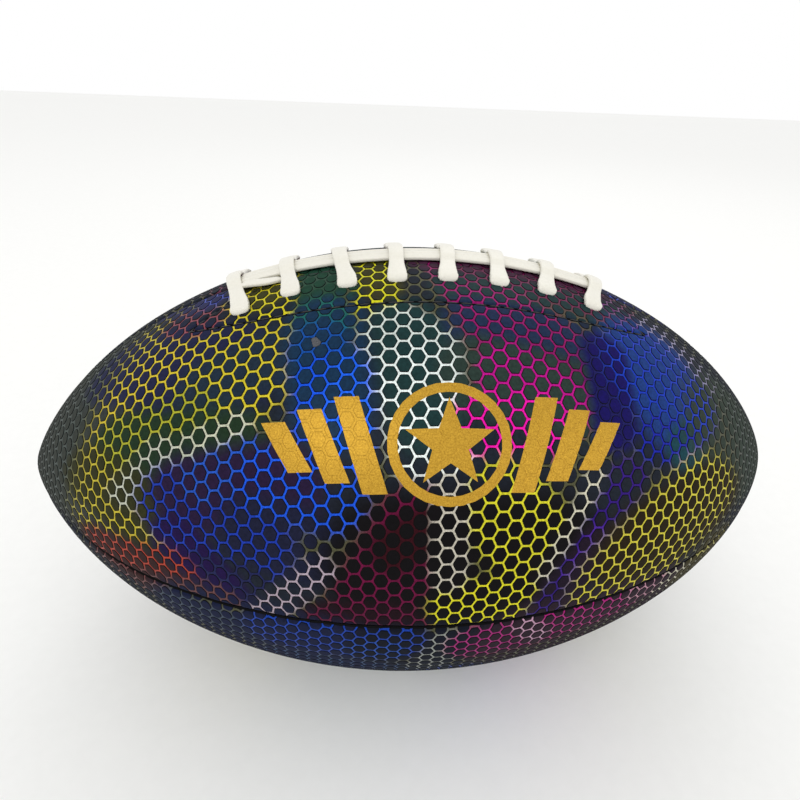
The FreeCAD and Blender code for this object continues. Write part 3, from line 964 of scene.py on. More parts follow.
@dataclass(frozen=True)
class Leaf:
    """The stitch line round a row of lace holes, as distances from the lace seam."""

    half_length: float = 68.0
    tip_arc: float = 19.2
    rise: float = 6.4
    drop: float = 13.6
    power: float = 4.5
    groove_half: float = 0.9
    groove_depth: float = 0.6

    def arc(self, x: Array, outer: bool) -> Array:
        """Distance of one side of the leaf from the seam."""
        share = 1 - np.clip(np.abs(x) / self.half_length, 0, 1) ** self.power
        return self.tip_arc + (self.rise if outer else -self.drop) * share

    def signed(self, x: Array, arc: Array, outer: bool) -> Array:
        """Distance from one side of the leaf, positive away from the seam."""
        slope = self.arc(x + 0.5, outer) - self.arc(x - 0.5, outer)
        return (arc - self.arc(x, outer)) / np.sqrt(1 + np.minimum(slope ** 2, 6.0))

    def distance(self, x: Array, arc: Array) -> Array:
        """Distance from the leaf line."""
        nearest = np.minimum(np.abs(self.signed(x, arc, True)), np.abs(self.signed(x, arc, False)))
        return np.hypot(nearest, np.maximum(np.abs(x) - self.half_length, 0.0))


class Quarter(Enum):
    """The four panels, with the angle of the middle line in degrees from the lace."""

    FRONT_UPPER = 45.0
    FRONT_LOWER = 135.0
    BACK_LOWER = 225.0
    BACK_UPPER = 315.0

    @property
    def upper(self) -> bool:
        """Whether the panel borders the lace."""
        return self in (Quarter.FRONT_UPPER, Quarter.BACK_UPPER)


@dataclass
class Panel:
    """One panel of the cover: a honeycomb sheet with rolled-in edges, open on its hidden inner side."""

    outline: Outline
    quarter: Quarter
    comb: Honeycomb = field(default_factory=Honeycomb)
    leaf: Leaf = field(default_factory=Leaf)
    roll_width: float = 2.0
    roll_levels: tuple[float, ...] = (1.0, 0.65, 0.35, 0.14, 0.0)
    roll_depth: float = 1.9
    pucker: float = 0.16
    stitch_pitch: float = 4.4
    valve_hole: float = 1.7
    valve_rim: float = 0.5
    valve_levels: tuple[float, ...] = (1.0, 0.4, 0.0)
    valve_drop: float = 0.3
    weld: float = 2000.0
    edge_stations: int = 1201
    sharp_angle: float = 12.0
    # Half-width of the leaf line's crease, cut into the surface and painted with shade in black.
    crease_half: float = 0.38
    # Width of the band along the seams, rolled down into the groove, that carries painted shade in black.
    edge_painted_shade: float = 0.8

    def __post_init__(self) -> None:
        """Tabulates the panel's edge once, because every face near it is measured against it."""
        self.stations = np.linspace(-self.outline.half_seam, self.outline.half_seam, self.edge_stations)
        self.widths = self.outline.panel_half_width(self.stations)
        self.slopes = np.gradient(self.widths, self.stations)

    def on_ball(self, u: Array, v: Array) -> tuple[Array, Array]:
        """Place along the axis and radians from the lace of flat pattern points."""
        x, swing = self.outline.unroll(u, v)
        return x, math.radians(self.quarter.value) + swing

    def from_edge(self, u: Array, v: Array) -> Array:
        """Measures the distance from the nearest seam.

        Args:
            u: Distance along the panel's middle line.
            v: Distance square to it.

        Returns:
            Distances, negative outside the panel.
        """
        width = np.interp(u, self.stations, self.widths)
        slope = np.interp(u, self.stations, self.slopes)
        beyond = np.maximum(np.abs(u) - self.outline.half_seam, 0)
        return (width - np.abs(v)) / np.sqrt(1 + slope ** 2) - beyond

    def beside_lace(self, u: Array, v: Array) -> tuple[Array, Array]:
        """Places flat pattern points beside the lace.

        Args:
            u: Distance along the panel's middle line.
            v: Distance square to it.

        Returns:
            Place along the axis, and distance round the ball from the lace seam.
        """
        x, angle = self.on_ball(u, v)
        angle = np.minimum(angle, 2 * math.pi - angle)
        return x, self.outline.profile(self.outline.lean_at_x(x))[1] * angle

    def from_leaf(self, u: Array, v: Array) -> Array:
        """Distance from the leaf line beside the lace."""
        return self.leaf.distance(*self.beside_lace(u, v))

    def from_leaf_outer(self, u: Array, v: Array) -> Array:
        """Signed distance from the side of the leaf away from the lace."""
        return self.leaf.signed(*self.beside_lace(u, v), True)

    def from_leaf_inner(self, u: Array, v: Array) -> Array:
        """Signed distance from the side of the leaf next to the lace."""
        return self.leaf.signed(*self.beside_lace(u, v), False)

    def from_valve(self, u: Array, v: Array) -> Array:
        """Measures the distance from the edge of the valve hole.

        Args:
            u: Distance along the panel's middle line.
            v: Distance square to it.

        Returns:
            Distances, negative inside the hole.
        """
        centre = self.outline.lace_frame(VALVE_X, np.array(VALVE_ARC), np.array(0.0))[0]
        x, angle = self.on_ball(u, v)
        return np.linalg.norm(self.outline.point(x, angle) - centre, axis=-1) - self.valve_hole

    def features(self) -> list[Feature | Emblem]:
        """Lists what the surface follows.

        Returns:
            The edge first, then the leaf line, the emblem and the valve hole where the panel has them.
        """
        found: list[Feature | Emblem] = [
            Feature(self.from_edge, [level * self.roll_width for level in self.roll_levels], hole=True)]
        if self.quarter.upper:
            half, crease = self.leaf.groove_half, self.crease_half
            for measure in (self.from_leaf_outer, self.from_leaf_inner):
                found.append(Feature(measure, (half, crease, 0.0, -crease, -half)))
        if self.quarter is Quarter.FRONT_UPPER:
            found.append(Emblem())
            levels = [level * self.valve_rim for level in self.valve_levels]
            found.append(Feature(self.from_valve, levels, hole=True))
        return found

    def depth(self, u: Array, v: Array) -> Array:
        """Measures how deep the surface lies, without the honeycomb's own relief.

        Args:
            u: Distance along the panel's middle line.
            v: Distance square to it.

        Returns:
            Depths below the ball's outline.
        """
        edge = np.clip(1 - self.from_edge(u, v) / self.roll_width, 0, 1)
        wave = 1 + self.pucker * np.cos(2 * math.pi * u / self.stitch_pitch)
        depth = self.roll_depth * wave * (1 - np.sqrt(1 - edge ** 2))
        if self.quarter.upper:
            groove = np.clip(self.from_leaf(u, v) / self.leaf.groove_half, 0, 1)
            depth = depth + self.leaf.groove_depth * (1 - smooth(groove))
        if self.quarter is Quarter.FRONT_UPPER:
            rim = np.clip(1 - self.from_valve(u, v) / self.valve_rim, 0, 1)
            depth = depth + self.valve_drop * (1 - np.sqrt(1 - rim ** 2))
        return depth

    def place(self, u: Array, v: Array, extra: Array | float = 0.0) -> Array:
        """Position of flat pattern points on the ball."""
        x, angle = self.on_ball(u, v)
        return self.outline.point(x, angle, self.depth(u, v) + extra)

    def normals(self, u: Array, v: Array) -> Array:
        """Finds the normals of the surface without the honeycomb's relief.

        Args:
            u: Distance along the panel's middle line.
            v: Distance square to it.

        Returns:
            Outward unit normals.
        """
        step = 0.05
        along = self.place(u + step, v) - self.place(u - step, v)
        across = self.place(u, v + step) - self.place(u, v - step)
        normal = np.cross(across, along)
        return normal / np.maximum(np.linalg.norm(normal, axis=1), 1e-9)[:, None]

    def flat_faces(self) -> list[tuple[int, Polygon]]:
        """Cuts the honeycomb to the panel's outline and features.

        Returns:
            Pairs of material slot and polygon of (u, v, depth).
        """
        columns = int(self.outline.half_seam / self.comb.column) + 2
        rows = int(self.widths.max() / self.comb.row) + 2
        middles = [(i * self.comb.column, (j + 0.5 * (i % 2)) * self.comb.row)
                   for i in range(-columns, columns + 1) for j in range(-rows, rows + 1)]
        u, v = np.array(middles).T
        inside = self.from_edge(u, v) > -2 * self.comb.row
        u, v = u[inside], v[inside]
        features = self.features()
        near = [feature.near(u, v) for feature in features]
        faces = []
        corners = self.comb.corner_cuts(foil_colour_and_highlight(*self.on_ball(u, v)).max(1))
        for number in range(len(u)):
            cell = self.comb.faces(u[number], v[number], corners[number])
            for feature, close in zip(features, near):
                if close[number] and cell:
                    cell = feature.divide(cell)
            faces += cell
        return self.paint_groove_shade(faces)

    def paint_groove_shade(self, faces: list[tuple[int, Polygon]]) -> list[tuple[int, Polygon]]:
        """Paints shade in black on the turned-in edges down in the seam grooves and on the crease of the leaf
        line.

        Args:
            faces: Pairs of material slot and polygon.

        Returns:
            The same polygons with their final slots.
        """
        middles = np.array([np.mean(polygon, axis=0) for _, polygon in faces])
        # Painted shade: the outermost band of each panel, down in the seam groove, is made black.
        black = self.from_edge(middles[:, 0], middles[:, 1]) < self.edge_painted_shade
        if self.quarter.upper:
            # Painted shade: the crease at the bottom of the leaf line's groove is made black.
            black |= self.from_leaf(middles[:, 0], middles[:, 1]) < self.crease_half
        return [(Skin.STEP if dark and slot != Skin.GOLD else slot, polygon)
                for dark, (slot, polygon) in zip(black, faces)]

    def sheet(self) -> tuple[Array, list[list[int]], list[int]]:
        """Joins the flat faces at their shared points.

        Returns:
            Points of (u, v, depth), faces turned to face outwards, and the slot of each face.
        """
        flat = self.flat_faces()
        corners = np.array([point for _, polygon in flat for point in polygon])
        keys = np.round(corners * self.weld).astype(np.int64)
        keys = (keys[:, 0] << 2 * KEY_BITS) + (keys[:, 1] << KEY_BITS) + keys[:, 2]
        _, first, numbers = np.unique(keys, return_index=True, return_inverse=True)
        numbers = numbers.ravel().tolist()
        faces, slots, start = [], [], 0
        for slot, polygon in flat:
            face = list(dict.fromkeys(numbers[start:start + len(polygon)]))
            start += len(polygon)
            if len(face) > 2:
                faces.append(face[::-1])
                slots.append(slot)
        return corners[first], faces, slots

    def build(self, materials: Sequence[bpy.types.Material]) -> bpy.types.Object:
        """Builds the panel.

        Args:
            materials: Materials in the order of Skin.

        Returns:
            The finished piece.
        """
        points, faces, slots = self.sheet()
        u, v, extra = points.T
        name = self.quarter.name.lower()
        piece = mesh_object("cover_" + name, self.place(u, v, extra), faces, materials, slots)
        mesh = piece.data
        x, angle = self.on_ball(u, v)
        for attribute, tint in (("foil_colour_and_highlight", foil_colour_and_highlight), ("cell_tint", cell_tint)):
            layer = mesh.attributes.new(attribute, "FLOAT_COLOR", "POINT")
            colours = np.ones((len(points), 4))
            colours[:, :3] = tint(x, angle)
            layer.data.foreach_set("color", colours.ravel())
        self.shade(mesh, self.normals(u, v))
        settle(piece, "cover", "panel_" + name)
        return piece

    def shade(self, mesh: bpy.types.Mesh, normals: Array) -> None:
        """Gives the sheet the ball's smooth normals, and keeps the steps round the cells crisp.

        Args:
            mesh: The sheet.
            normals: Smooth normal of each vertex.
        """
        loops = np.empty(len(mesh.loops), int)
        mesh.loops.foreach_get("vertex_index", loops)
        totals = np.empty(len(mesh.polygons), int)
        mesh.polygons.foreach_get("loop_total", totals)
        flat = np.empty(len(mesh.polygons) * 3)
        mesh.polygons.foreach_get("normal", flat)
        flat = np.repeat(flat.reshape(-1, 3), totals, axis=0)
        corners = normals[loops]
        sharp = (corners * flat).sum(1) < math.cos(math.radians(self.sharp_angle))
        mesh.normals_split_custom_set(np.where(sharp[:, None], flat, corners).tolist())


# ------------------------------------------------------------------ lace

@dataclass(frozen=True)
class Stroke:
    """One run of lace: centre line, outward and sideways directions, and its size along the way."""

    centres: Array
    outward: Array
    sideways: Array
    widths: Array
    depths: Array
    ribs: float = 0.0
    pebble: Array | float = 0.0
    around: int = 28


@dataclass
class Lace:
    """The white lace: a ribbed strand along the seam, eight cross stitches, the runs inside, and the tail."""

    outline: Outline
    pitch: float = 15.0
    strand_half: float = 55.5
    strand_width: float = 8.6
    strand_top: float = 1.75
    strand_rib: float = 0.42
    depth: float = 1.5
    width: float = 4.5
    end_width: float = 5.7
    front_ends: tuple[float, ...] = (19.4, 16.9, 17.2, 16.2, 15.6, 15.4, 15.2, 16.4)
    back_end: float = 16.2
    front_shifts: tuple[float, ...] = (-0.9, -1.3, 0.0, -0.7, -1.0, -0.8, -1.1, -1.4)
    top_shifts: tuple[float, ...] = (-4.6, -3.2, -2.3, -0.5, 0.0, 0.0, 1.4, 2.8)
    back_shifts: tuple[float, ...] = (-6.4, -4.8, -3.6, -1.2, 0.6, 1.4, 3.2, 5.0)
    sink: float = 0.9
    foot: float = 2.4
    run_level: float = -4.9
    run_end: float = -1.8
    run_inset: float = 1.4
    run_size: tuple[float, float] = (2.8, 1.3)
    tail_size: tuple[float, float] = (3.4, 1.3)
    squareness: float = 3.4
    seed: int = 11

    def tube(self, stroke: Stroke) -> tuple[Array, list[list[int]]]:
        """Sweeps the lace's flattened section along a stroke and closes both ends.

        Args:
            stroke: The run of lace.

        Returns:
            Positions, and vertex numbers of each face.
        """
        n = stroke.around
        turns = 2 * math.pi * (np.arange(n) + 0.5) / n
        flat = 2 / self.squareness
        a = np.sign(np.cos(turns)) * np.abs(np.cos(turns)) ** flat
        b = np.sign(np.sin(turns)) * np.abs(np.sin(turns)) ** flat
        count = len(stroke.centres)
        top = np.clip(b, 0, 1)[None, :] * np.clip(1.15 - np.abs(a), 0, 1)[None, :]
        rib = stroke.ribs * np.cos(3 * math.pi * a)[None, :] * top
        rng = np.random.default_rng(self.seed)
        pebble = np.asarray(stroke.pebble) * np.ones(count)
        bumps = rng.normal(size=(count, n)) * pebble[:, None]
        side = a[None, :] * stroke.widths[:, None] / 2
        out = b[None, :] * stroke.depths[:, None] / 2 + rib
        scale = 1 + bumps / np.maximum(stroke.depths[:, None], 0.3)
        places = (stroke.centres[:, None, :] + (side * scale)[..., None] * stroke.sideways[:, None, :]
                  + (out * scale)[..., None] * stroke.outward[:, None, :]).reshape(-1, 3)
        faces = [[k * n + i, k * n + (i + 1) % n, (k + 1) * n + (i + 1) % n, (k + 1) * n + i]
                 for k in range(count - 1) for i in range(n)]
        first, last = len(places), len(places) + 1
        places = np.vstack([places, stroke.centres[0], stroke.centres[-1]])
        faces += [[first, (i + 1) % n, i] for i in range(n)]
        faces += [[last, (count - 1) * n + i, (count - 1) * n + (i + 1) % n] for i in range(n)]
        return places, faces

    def along(self, knots: Sequence[tuple[float, float, float]], steps: int) -> tuple[Array, Array, Array]:
        """Smooth path through (x, arc, height) knots.

        Args:
            knots: Places on the ball.
            steps: Points along the path.

        Returns:
            Positions, outward directions and sideways directions.
        """
        knots = np.array(knots)
        spans = np.linalg.norm(np.diff(knots, axis=0), axis=1)
        marks = np.concatenate([[0], np.cumsum(spans)])
        share = np.linspace(0, marks[-1], steps)
        fine = np.stack([np.interp(share, marks, knots[:, i]) for i in range(3)], -1)
        for _ in range(3):
            fine[1:-1] = (fine[:-2] + 2 * fine[1:-1] + fine[2:]) / 4
        frames = [self.outline.lace_frame(x, np.array([arc]), np.array([height])) for x, arc, height in fine]
        centres = np.array([f[0][0] for f in frames])
        normals = np.array([f[1][0] for f in frames])
        tangents = np.gradient(centres, axis=0)
        tangents /= np.linalg.norm(tangents, axis=1)[:, None]
        seam = np.array([f[2] for f in frames])
        mostly_along = np.abs((tangents * seam).sum(1)).mean() > 0.7
        sideways = np.cross(normals, tangents) if mostly_along else seam
        sideways -= (sideways * tangents).sum(1)[:, None] * tangents
        sideways /= np.linalg.norm(sideways, axis=1)[:, None]
        return centres, np.cross(tangents, sideways), sideways

    def rounded(self, steps: int, ends: float) -> Array:
        """Rounds off both ends of a stroke.

        Args:
            steps: Points along the stroke.
            ends: Share of the length that each rounding takes.

        Returns:
            Size at each point, as a share of the full size.
        """
        place = np.linspace(0, 1, steps)
        near = np.clip(1 - np.minimum(place, 1 - place) / ends, 0, 1)
        return np.sqrt(np.maximum(1 - near ** 2, 0.02))

    def cross(self, number: int) -> Stroke:
        """Lays one cross stitch over the strand, pressed into its holes at both ends.

        Args:
            number: Which stitch, counted along the ball.

        Returns:
            The stitch.
        """
        middle = (number - (len(self.front_ends) - 1) / 2) * self.pitch
        front, back = self.front_ends[number], self.back_end
        half, shoulder = self.depth / 2, self.strand_width / 2
        over, foot = self.strand_top + half + 0.1, shoulder + self.foot
        x_front, x_back = middle + self.front_shifts[number], middle + self.back_shifts[number]
        x_top = middle + self.top_shifts[number]
        x_down, x_edge = (x_top + (x_front - x_top) * arc / front for arc in (foot, shoulder))
        x_up, x_rear = (x_top + (x_back - x_top) * arc / back for arc in (foot, shoulder))
        knots = [(x_back, -back, -self.sink), (x_back, -back + 0.5, half), (x_back, -back + 3, half + 0.25),
                 (x_up, -foot, half + 0.35), (x_rear, -shoulder + 0.2, over - 0.2),
                 (x_top, 0, over + 0.1), (x_edge, shoulder - 0.2, over - 0.2),
                 (x_down, foot, half + 0.35), (x_front, front - 3, half + 0.25),
                 (x_front, front - 0.5, half), (x_front, front, -self.sink)]
        steps = 84
        centres, outward, sideways = self.along(knots, steps)
        place = np.abs(np.linspace(-1, 1, steps))
        flare = smooth((place - 0.4) / 0.5)
        ends = self.rounded(steps, 0.05)
        widths = (self.width + (self.end_width - self.width) * flare) * ends
        depths = self.depth * (1 + 0.15 * flare) * np.sqrt(ends)
        return Stroke(centres, outward, sideways, widths, depths, pebble=0.05 * smooth((place - 0.62) / 0.2))

    def strand(self) -> Stroke:
        """Lays the ribbed strand along the seam.

        Returns:
            The strand.
        """
        half = self.strand_top / 2
        end = self.strand_half
        knots = [(-end - 1.2, 0, -0.6), (-end, 0, half)] + [(x, 0, half) for x in (-40, -20, 0, 20, 40)] + [
            (end, 0, half), (end + 1.2, 0, -0.6)]
        steps = 140
        centres, outward, sideways = self.along(knots, steps)
        ends = self.rounded(steps, 0.02)
        widths = self.strand_width * ends
        return Stroke(centres, outward, sideways, widths, self.strand_top * ends, self.strand_rib, around=84)

    def tail(self) -> Stroke:
        """Tucks the free end back under the strand between the first two cross stitches.

        Returns:
            The tail.
        """
        knots = [(-54.5, 5.0, 1.1), (-51.0, 6.6, 1.3), (-48.0, 7.4, 1.1), (-45.5, 7.4, 0.8),
                 (-43.0, 6.4, 0.3), (-41.6, 5.2, -0.6)]
        steps = 30
        centres, outward, sideways = self.along(knots, steps)
        size = self.rounded(steps, 0.12)
        width, depth = self.tail_size
        return Stroke(centres, outward, sideways, width * size, depth * size)

    def runs(self) -> list[Stroke]:
        """Lays the diagonal runs inside the ball, from each stitch's front hole to the next one's back hole.

        Returns:
            The runs.
        """
        strokes = []
        steps, hole = 40, self.back_end - self.run_inset
        width, depth = self.run_size
        size = np.ones(steps)
        for i in range(len(self.front_ends) - 1):
            here = (i - (len(self.front_ends) - 1) / 2) * self.pitch
            there = here + self.pitch
            knots = [(here, hole, self.run_end), (here, hole - 0.2, self.run_level + 0.4),
                     (here + 1.0, hole - 2.0, self.run_level), (there - 1.0, 2.0 - hole, self.run_level),
                     (there, 0.2 - hole, self.run_level + 0.4), (there, -hole, self.run_end)]
            centres, outward, sideways = self.along(knots, steps)
            strokes.append(Stroke(centres, outward, sideways, width * size, depth * size))
        return strokes

    def build(self, material: bpy.types.Material) -> bpy.types.Object:
        """Builds the whole lace as one piece.

        Args:
            material: The lace's material.

        Returns:
            The finished piece.
        """
        strokes = [self.strand(), self.tail(), *self.runs()]
        strokes += [self.cross(number) for number in range(len(self.front_ends))]
        points, faces = [], []
        for stroke in strokes:
            places, loops = self.tube(stroke)
            shift = sum(len(p) for p in points)
            points.append(places)
            faces += [[i + shift for i in loop] for loop in loops]
        piece = mesh_object("lace_woven_through", np.vstack(points), faces, [material])
        outward_faces(piece.data)
        settle(piece, "lace", "lace")
        return piece


@dataclass
class ValveSeal:
    """The closed lips of the self-sealing valve, a small speckled disc in the valve hole."""

    outline: Outline
    radius: float = 1.62
    crown: float = 0.22
    drop: float = 0.32
    thickness: float = 0.4
    slit_depth: float = 0.16
    slit_width: float = 0.14
    slit_share: float = 0.7

    def build(self, material: bpy.types.Material) -> bpy.types.Object:
        """Builds the disc as a closed lens with a shallow slit across it.

        Args:
            material: The valve's rubber.

        Returns:
            The finished piece.
        """
        centre, normal, along = self.outline.lace_frame(VALVE_X, np.array(VALVE_ARC), np.array(-self.drop))
        across = np.cross(normal, along)
        rings, around = 9, 36
        points, faces = [], []
        for level in range(2 * rings + 1):
            share = 1 - abs(level - rings) / rings
            under = level > rings
            for i in range(around):
                turn = 2 * math.pi * i / around
                a, b = self.radius * share * math.cos(turn), self.radius * share * math.sin(turn)
                height = -self.thickness if under else self.crown * (1 - share ** 2)
                if not under and abs(a) < self.slit_share * self.radius:
                    height -= self.slit_depth * math.exp(-(b / self.slit_width) ** 2)
                points.append(centre + a * along + b * across + height * normal)
        for level in range(2 * rings):
            for i in range(around):
                j = (i + 1) % around
                faces.append([level * around + i, (level + 1) * around + i, (level + 1) * around + j,
                              level * around + j])
        piece = mesh_object("valve_seal_lips", np.array(points), faces, [material])
        work = bmesh.new()
        work.from_mesh(piece.data)
        bmesh.ops.remove_doubles(work, verts=work.verts, dist=1e-7)
        work.to_mesh(piece.data)
        work.free()
        outward_faces(piece.data)
        settle(piece, "valve")
        return piece


def outward_faces(mesh: bpy.types.Mesh) -> None:
    """Turns every face of closed shells outwards.

    Args:
        mesh: The shells.
    """
    work = bmesh.new()
    work.from_mesh(mesh)
    bmesh.ops.recalc_face_normals(work, faces=work.faces)
    work.to_mesh(mesh)
    work.free()


# ------------------------------------------------------------------ stitches

@dataclass(frozen=True)
class StitchRow:
    """Stitches set along a path by Geometry Nodes, sizes in millimetres."""

    pitch: float = 4.4
    length: float = 2.2
    width: float = 0.75
    spread: float = 0.12
    seed: int = 5

    def tree(self, material: bpy.types.Material) -> bpy.types.NodeTree:
        """Builds the node tree.

        Args:
            material: The thread.

        Returns:
            A tree that turns a path into a row of stitches.
        """
        tree = bpy.data.node_groups.new("stitch_row", "GeometryNodeTree")
        tree.interface.new_socket(name="Path", in_out="INPUT", socket_type="NodeSocketGeometry")
        for name in ("Pitch", "Length", "Width", "Spread"):
            tree.interface.new_socket(name=name, in_out="INPUT", socket_type="NodeSocketFloat")
        tree.interface.new_socket(name="Stitches", in_out="OUTPUT", socket_type="NodeSocketGeometry")
        sizes = add(tree, "NodeGroupInput").outputs
        path = add(tree, "GeometryNodeMeshToCurve", {"Mesh": sizes["Path"]})
        places = add(tree, "GeometryNodeCurveToPoints", {"Curve": path.outputs[0], "Length": sizes["Pitch"]},
                     mode="LENGTH")
        bead = add(tree, "GeometryNodeMeshIcoSphere", {"Radius": 0.5, "Subdivisions": 2})
        low = add(tree, "ShaderNodeMath", {0: 1.0, 1: sizes["Spread"]}, operation="SUBTRACT")
        high = add(tree, "ShaderNodeMath", {0: 1.0, 1: sizes["Spread"]}, operation="ADD")
        change = add(tree, "FunctionNodeRandomValue", {"Seed": self.seed}, data_type="FLOAT")
        tree.links.new(low.outputs[0], change.inputs[2])
        tree.links.new(high.outputs[0], change.inputs[3])
        long = add(tree, "ShaderNodeMath", {0: sizes["Length"], 1: change.outputs[1]}, operation="MULTIPLY")
        size = add(tree, "ShaderNodeCombineXYZ",
                   {"X": sizes["Width"], "Y": sizes["Width"], "Z": long.outputs[0]})
        beads = add(tree, "GeometryNodeInstanceOnPoints",
                    {"Points": places.outputs["Points"], "Instance": bead.outputs["Mesh"],
                     "Rotation": places.outputs["Rotation"], "Scale": size.outputs[0]})
        real = add(tree, "GeometryNodeRealizeInstances", {0: beads.outputs[0]})
        shaded = add(tree, "GeometryNodeSetShadeSmooth", {0: real.outputs[0]})
        thread = add(tree, "GeometryNodeSetMaterial", {0: shaded.outputs[0], "Material": material})
        add(tree, "NodeGroupOutput", {0: thread.outputs[0]})
        return tree

    def build(self, name: str, path: Array, material: bpy.types.Material) -> bpy.types.Object:
        """Lays the row along a path and turns it into a plain mesh.

        Args:
            name: The piece's name.
            path: Points in millimetres.
            material: The thread.

        Returns:
            The finished piece.
        """
        line = bpy.data.meshes.new(name + "_path")
        line.from_pydata((path * MM).tolist(), [(i, i + 1) for i in range(len(path) - 1)], [])
        guide = bpy.data.objects.new(name + "_guide", line)
        bpy.context.scene.collection.objects.link(guide)
        modifier = guide.modifiers.new("stitches", "NODES")
        modifier.node_group = self.tree(material)
        values = {"Pitch": self.pitch * MM, "Length": self.length * MM, "Width": self.width * MM,
                  "Spread": self.spread}
        for item in modifier.node_group.interface.items_tree:
            if item.name in values:
                modifier[item.identifier] = values[item.name]
        bpy.context.view_layer.update()
        evaluated = guide.evaluated_get(bpy.context.evaluated_depsgraph_get())
        mesh = bpy.data.meshes.new_from_object(evaluated)
        mesh.name = name
        guide.modifiers.clear()
        bpy.data.objects.remove(guide)
        piece = bpy.data.objects.new(name, mesh)
        bpy.context.scene.collection.objects.link(piece)
        return piece


@dataclass
class Sewing:
    """All visible stitches: the four seams and the leaf line on both sides of the lace."""

    outline: Outline
    leaf: Leaf = field(default_factory=Leaf)
    seam_row: StitchRow = StitchRow()
    leaf_row: StitchRow = StitchRow(pitch=4.0, length=3.4, width=0.5)
    seam_depth: float = 1.5
    leaf_depth: float = 0.42
    tip_clear: float = 7.0
    opening_half: float = 62.0
    seam_points: int = 160
    leaf_points: int = 90

    def seam(self, first: float, last: float, degrees: float) -> Array:
        """Path of one seam between two places along the axis."""
        x = np.linspace(first, last, self.seam_points)
        return self.outline.point(x, np.full(len(x), math.radians(degrees)), self.seam_depth)

    def leaf_path(self, side: int) -> Array:
        """Lays the path of the leaf line, once round.

        Args:
            side: 1 for the front of the lace, -1 for the back.

        Returns:
            Points in millimetres.
        """
        there = self.leaf.half_length * np.cos(np.linspace(math.pi, 0, self.leaf_points))
        x = np.concatenate([there, there[::-1]])
        arc = np.concatenate([self.leaf.arc(there, True), self.leaf.arc(there[::-1], False)])
        radius = self.outline.profile(self.outline.lean_at_x(x))[1]
        return self.outline.point(x, side * arc / radius, self.leaf_depth)

    def build(self, material: bpy.types.Material) -> None:
        """Builds every row.

        Args:
            material: The thread.
        """
        reach = self.outline.half_length - self.tip_clear
        gap = self.opening_half
        rows = {"seam_thread_front": self.seam(-reach, reach, 90),
                "seam_thread_bottom": self.seam(-reach, reach, 180),
                "seam_thread_back": self.seam(-reach, reach, 270),
                "seam_thread_lace_left": self.seam(-reach, -gap, 0),
                "seam_thread_lace_right": self.seam(gap, reach, 0)}
        for node, path in rows.items():
            settle(self.seam_row.build(node.replace("thread", "stitches"), path, material), "thread", node)
        for node, side in (("facing_stitches_front", 1), ("facing_stitches_back", -1)):
            name = node.replace("facing_stitches", "leaf_line_stitches")
            settle(self.leaf_row.build(name, self.leaf_path(side), material), "thread", node)


# ------------------------------------------------------------------ parts inside

class Inside(Enum):
    """Inner pieces, shown as designed, by finish."""

    LININGS = ("lining_front_upper", "lining_back_upper", "lining_front_lower", "lining_back_lower")
    HIDES = ("lace_facing_front", "lace_facing_back", "lace_tongue")
    BLADDER = ("bladder",)
    VALVE = ("valve_body", "valve_plug", "valve_patch")

    def finish(self) -> Finish:
        """The finish of the group."""
        return {Inside.LININGS: COTTON, Inside.HIDES: SPLIT_HIDE, Inside.BLADDER: BLADDER_RUBBER,
                Inside.VALVE: VALVE_RUBBER}[self]

    def dress(self) -> None:
        """Gives the group's designed parts their material."""
        material = self.finish().make()
        for name in self.value:
            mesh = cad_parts[name].data
            mesh.materials.clear()
            mesh.materials.append(material)
            LOG.info("%s: %s", name, material.name)


# ------------------------------------------------------------------ stage

@dataclass(frozen=True)
class SoftBox:
    """A square area light that faces the ball: place and size in metres, power in watts."""

    name: str
    place: tuple[float, float, float]
    size: float
    power: float

    def hang(self) -> None:
        """Hangs the light."""
        data = bpy.data.lights.new(self.name, "AREA")
        data.size = self.size
        data.energy = self.power
        lamp = bpy.data.objects.new(self.name, data)
        lamp.location = self.place
        lamp.rotation_euler = (-Vector(self.place)).to_track_quat("-Z", "Y").to_euler()
        bpy.context.scene.collection.objects.link(lamp)


SOFT_BOXES = (SoftBox("key", (-0.5, -0.9, 1.1), 0.7, 3.0), SoftBox("fill", (0.9, -0.8, 0.5), 0.8, 1.0),
              SoftBox("rim", (0.3, 0.9, 0.9), 0.7, 1.0))


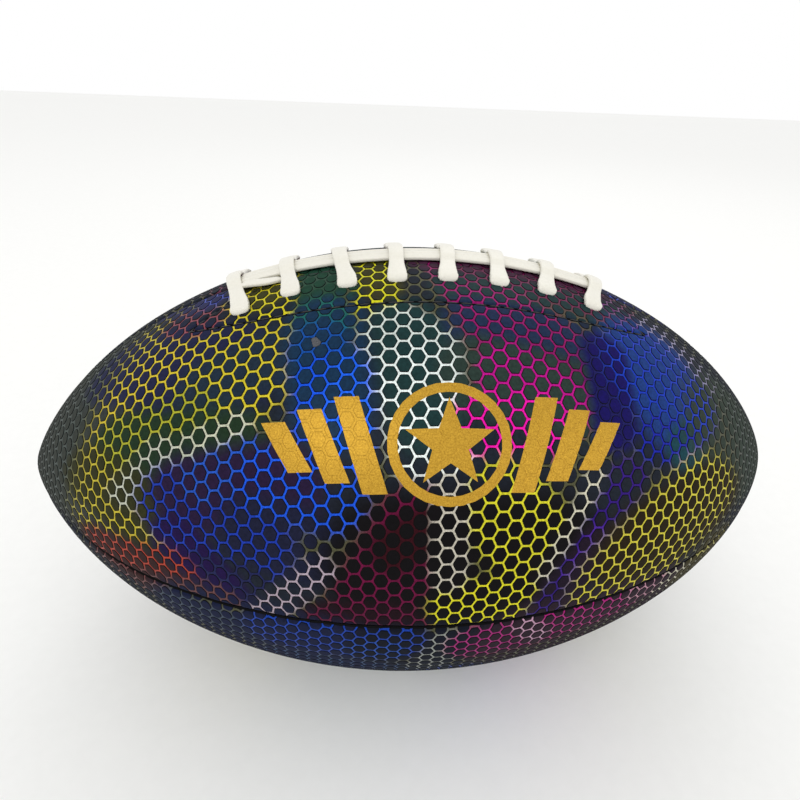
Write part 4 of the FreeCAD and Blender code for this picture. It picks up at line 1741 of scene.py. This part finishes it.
@dataclass(frozen=True)
class Studio:
    """Pale floor, soft light and the camera."""

    floor_paint: Finish = Finish("studio_floor_painted", "#f2f2f0", "#f6f6f4", 5.0, 0.0, 0.9)
    floor_size: float = 6.0
    camera_distance: float = 210.0
    lace_elevation: float = 52.5
    yaw: float = 4.03
    roll: float = 0.52
    lens: float = 23.8
    shift_x: float = -0.0163
    shift_y: float = 0.0736

    def floor(self) -> None:
        """Lays the floor just under the ball."""
        low = CAD_BOX[0][2]
        half = self.floor_size / 2
        mesh = bpy.data.meshes.new("floor")
        mesh.from_pydata([(-half, -half, low), (half, -half, low), (half, half, low), (-half, half, low)], [],
                         [(0, 1, 2, 3)])
        floor = bpy.data.objects.new("floor", mesh)
        bpy.context.scene.collection.objects.link(floor)
        mesh.materials.append(self.floor_paint.make())

    def lights(self) -> None:
        """Sets an even white room with its soft boxes, and shows colours as they are."""
        world = bpy.data.worlds.new("white_room")
        world.use_nodes = True
        background = world.node_tree.nodes["Background"]
        background.inputs["Color"].default_value = (1.0, 1.0, 1.0, 1.0)
        background.inputs["Strength"].default_value = 1.0
        bpy.context.scene.world = world
        for box in SOFT_BOXES:
            box.hang()
        bpy.context.scene.view_settings.view_transform = "Standard"

    def camera(self) -> None:
        """Stands the camera a hand's breadth in front of the ball, above the front seam."""
        lean = math.radians(self.lace_elevation)
        to_camera_frame = Matrix(((1, 0, 0), (0, math.sin(lean), -math.cos(lean)),
                                  (0, math.cos(lean), math.sin(lean))))
        roll = Matrix.Rotation(math.radians(-self.roll), 3, "Y")
        yaw = Matrix.Rotation(math.radians(self.yaw), 3, "Z")
        turned = (roll @ yaw @ to_camera_frame).transposed()
        right = turned @ Vector((1, 0, 0))
        up = turned @ Vector((0, 0, 1))
        back = turned @ Vector((0, -1, 0))
        data = bpy.data.cameras.new("camera")
        data.lens = self.lens
        data.shift_x = self.shift_x
        data.shift_y = self.shift_y
        data.clip_start = 0.01
        camera = bpy.data.objects.new("camera", data)
        pose = Matrix((right, up, back)).transposed().to_4x4()
        pose.translation = back * self.camera_distance * MM
        camera.matrix_world = pose
        bpy.context.scene.collection.objects.link(camera)
        bpy.context.scene.camera = camera

    def build(self) -> None:
        """Sets the whole stage."""
        self.floor()
        self.lights()
        self.camera()


def write_sizes() -> None:
    """Brings the view layer up to date."""
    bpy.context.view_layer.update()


def main() -> None:
    """Builds the looks in order and reports each piece."""
    logging.basicConfig(level=logging.INFO, format="%(message)s")
    outline = ball_outline()
    Studio().build()
    cover = [FOIL.make(), STEP.make(), CELL.make(), GOLD.make()]
    for quarter in Quarter:
        Panel(outline, quarter).build(cover if quarter is Quarter.FRONT_UPPER else cover[:3])
    Lace(outline).build(LACE.make())
    ValveSeal(outline).build(VALVE_RUBBER.make())
    Sewing(outline).build(THREAD.make())
    for group in Inside:
        group.dress()
    write_sizes()


if __name__ == "__main__":
    main()
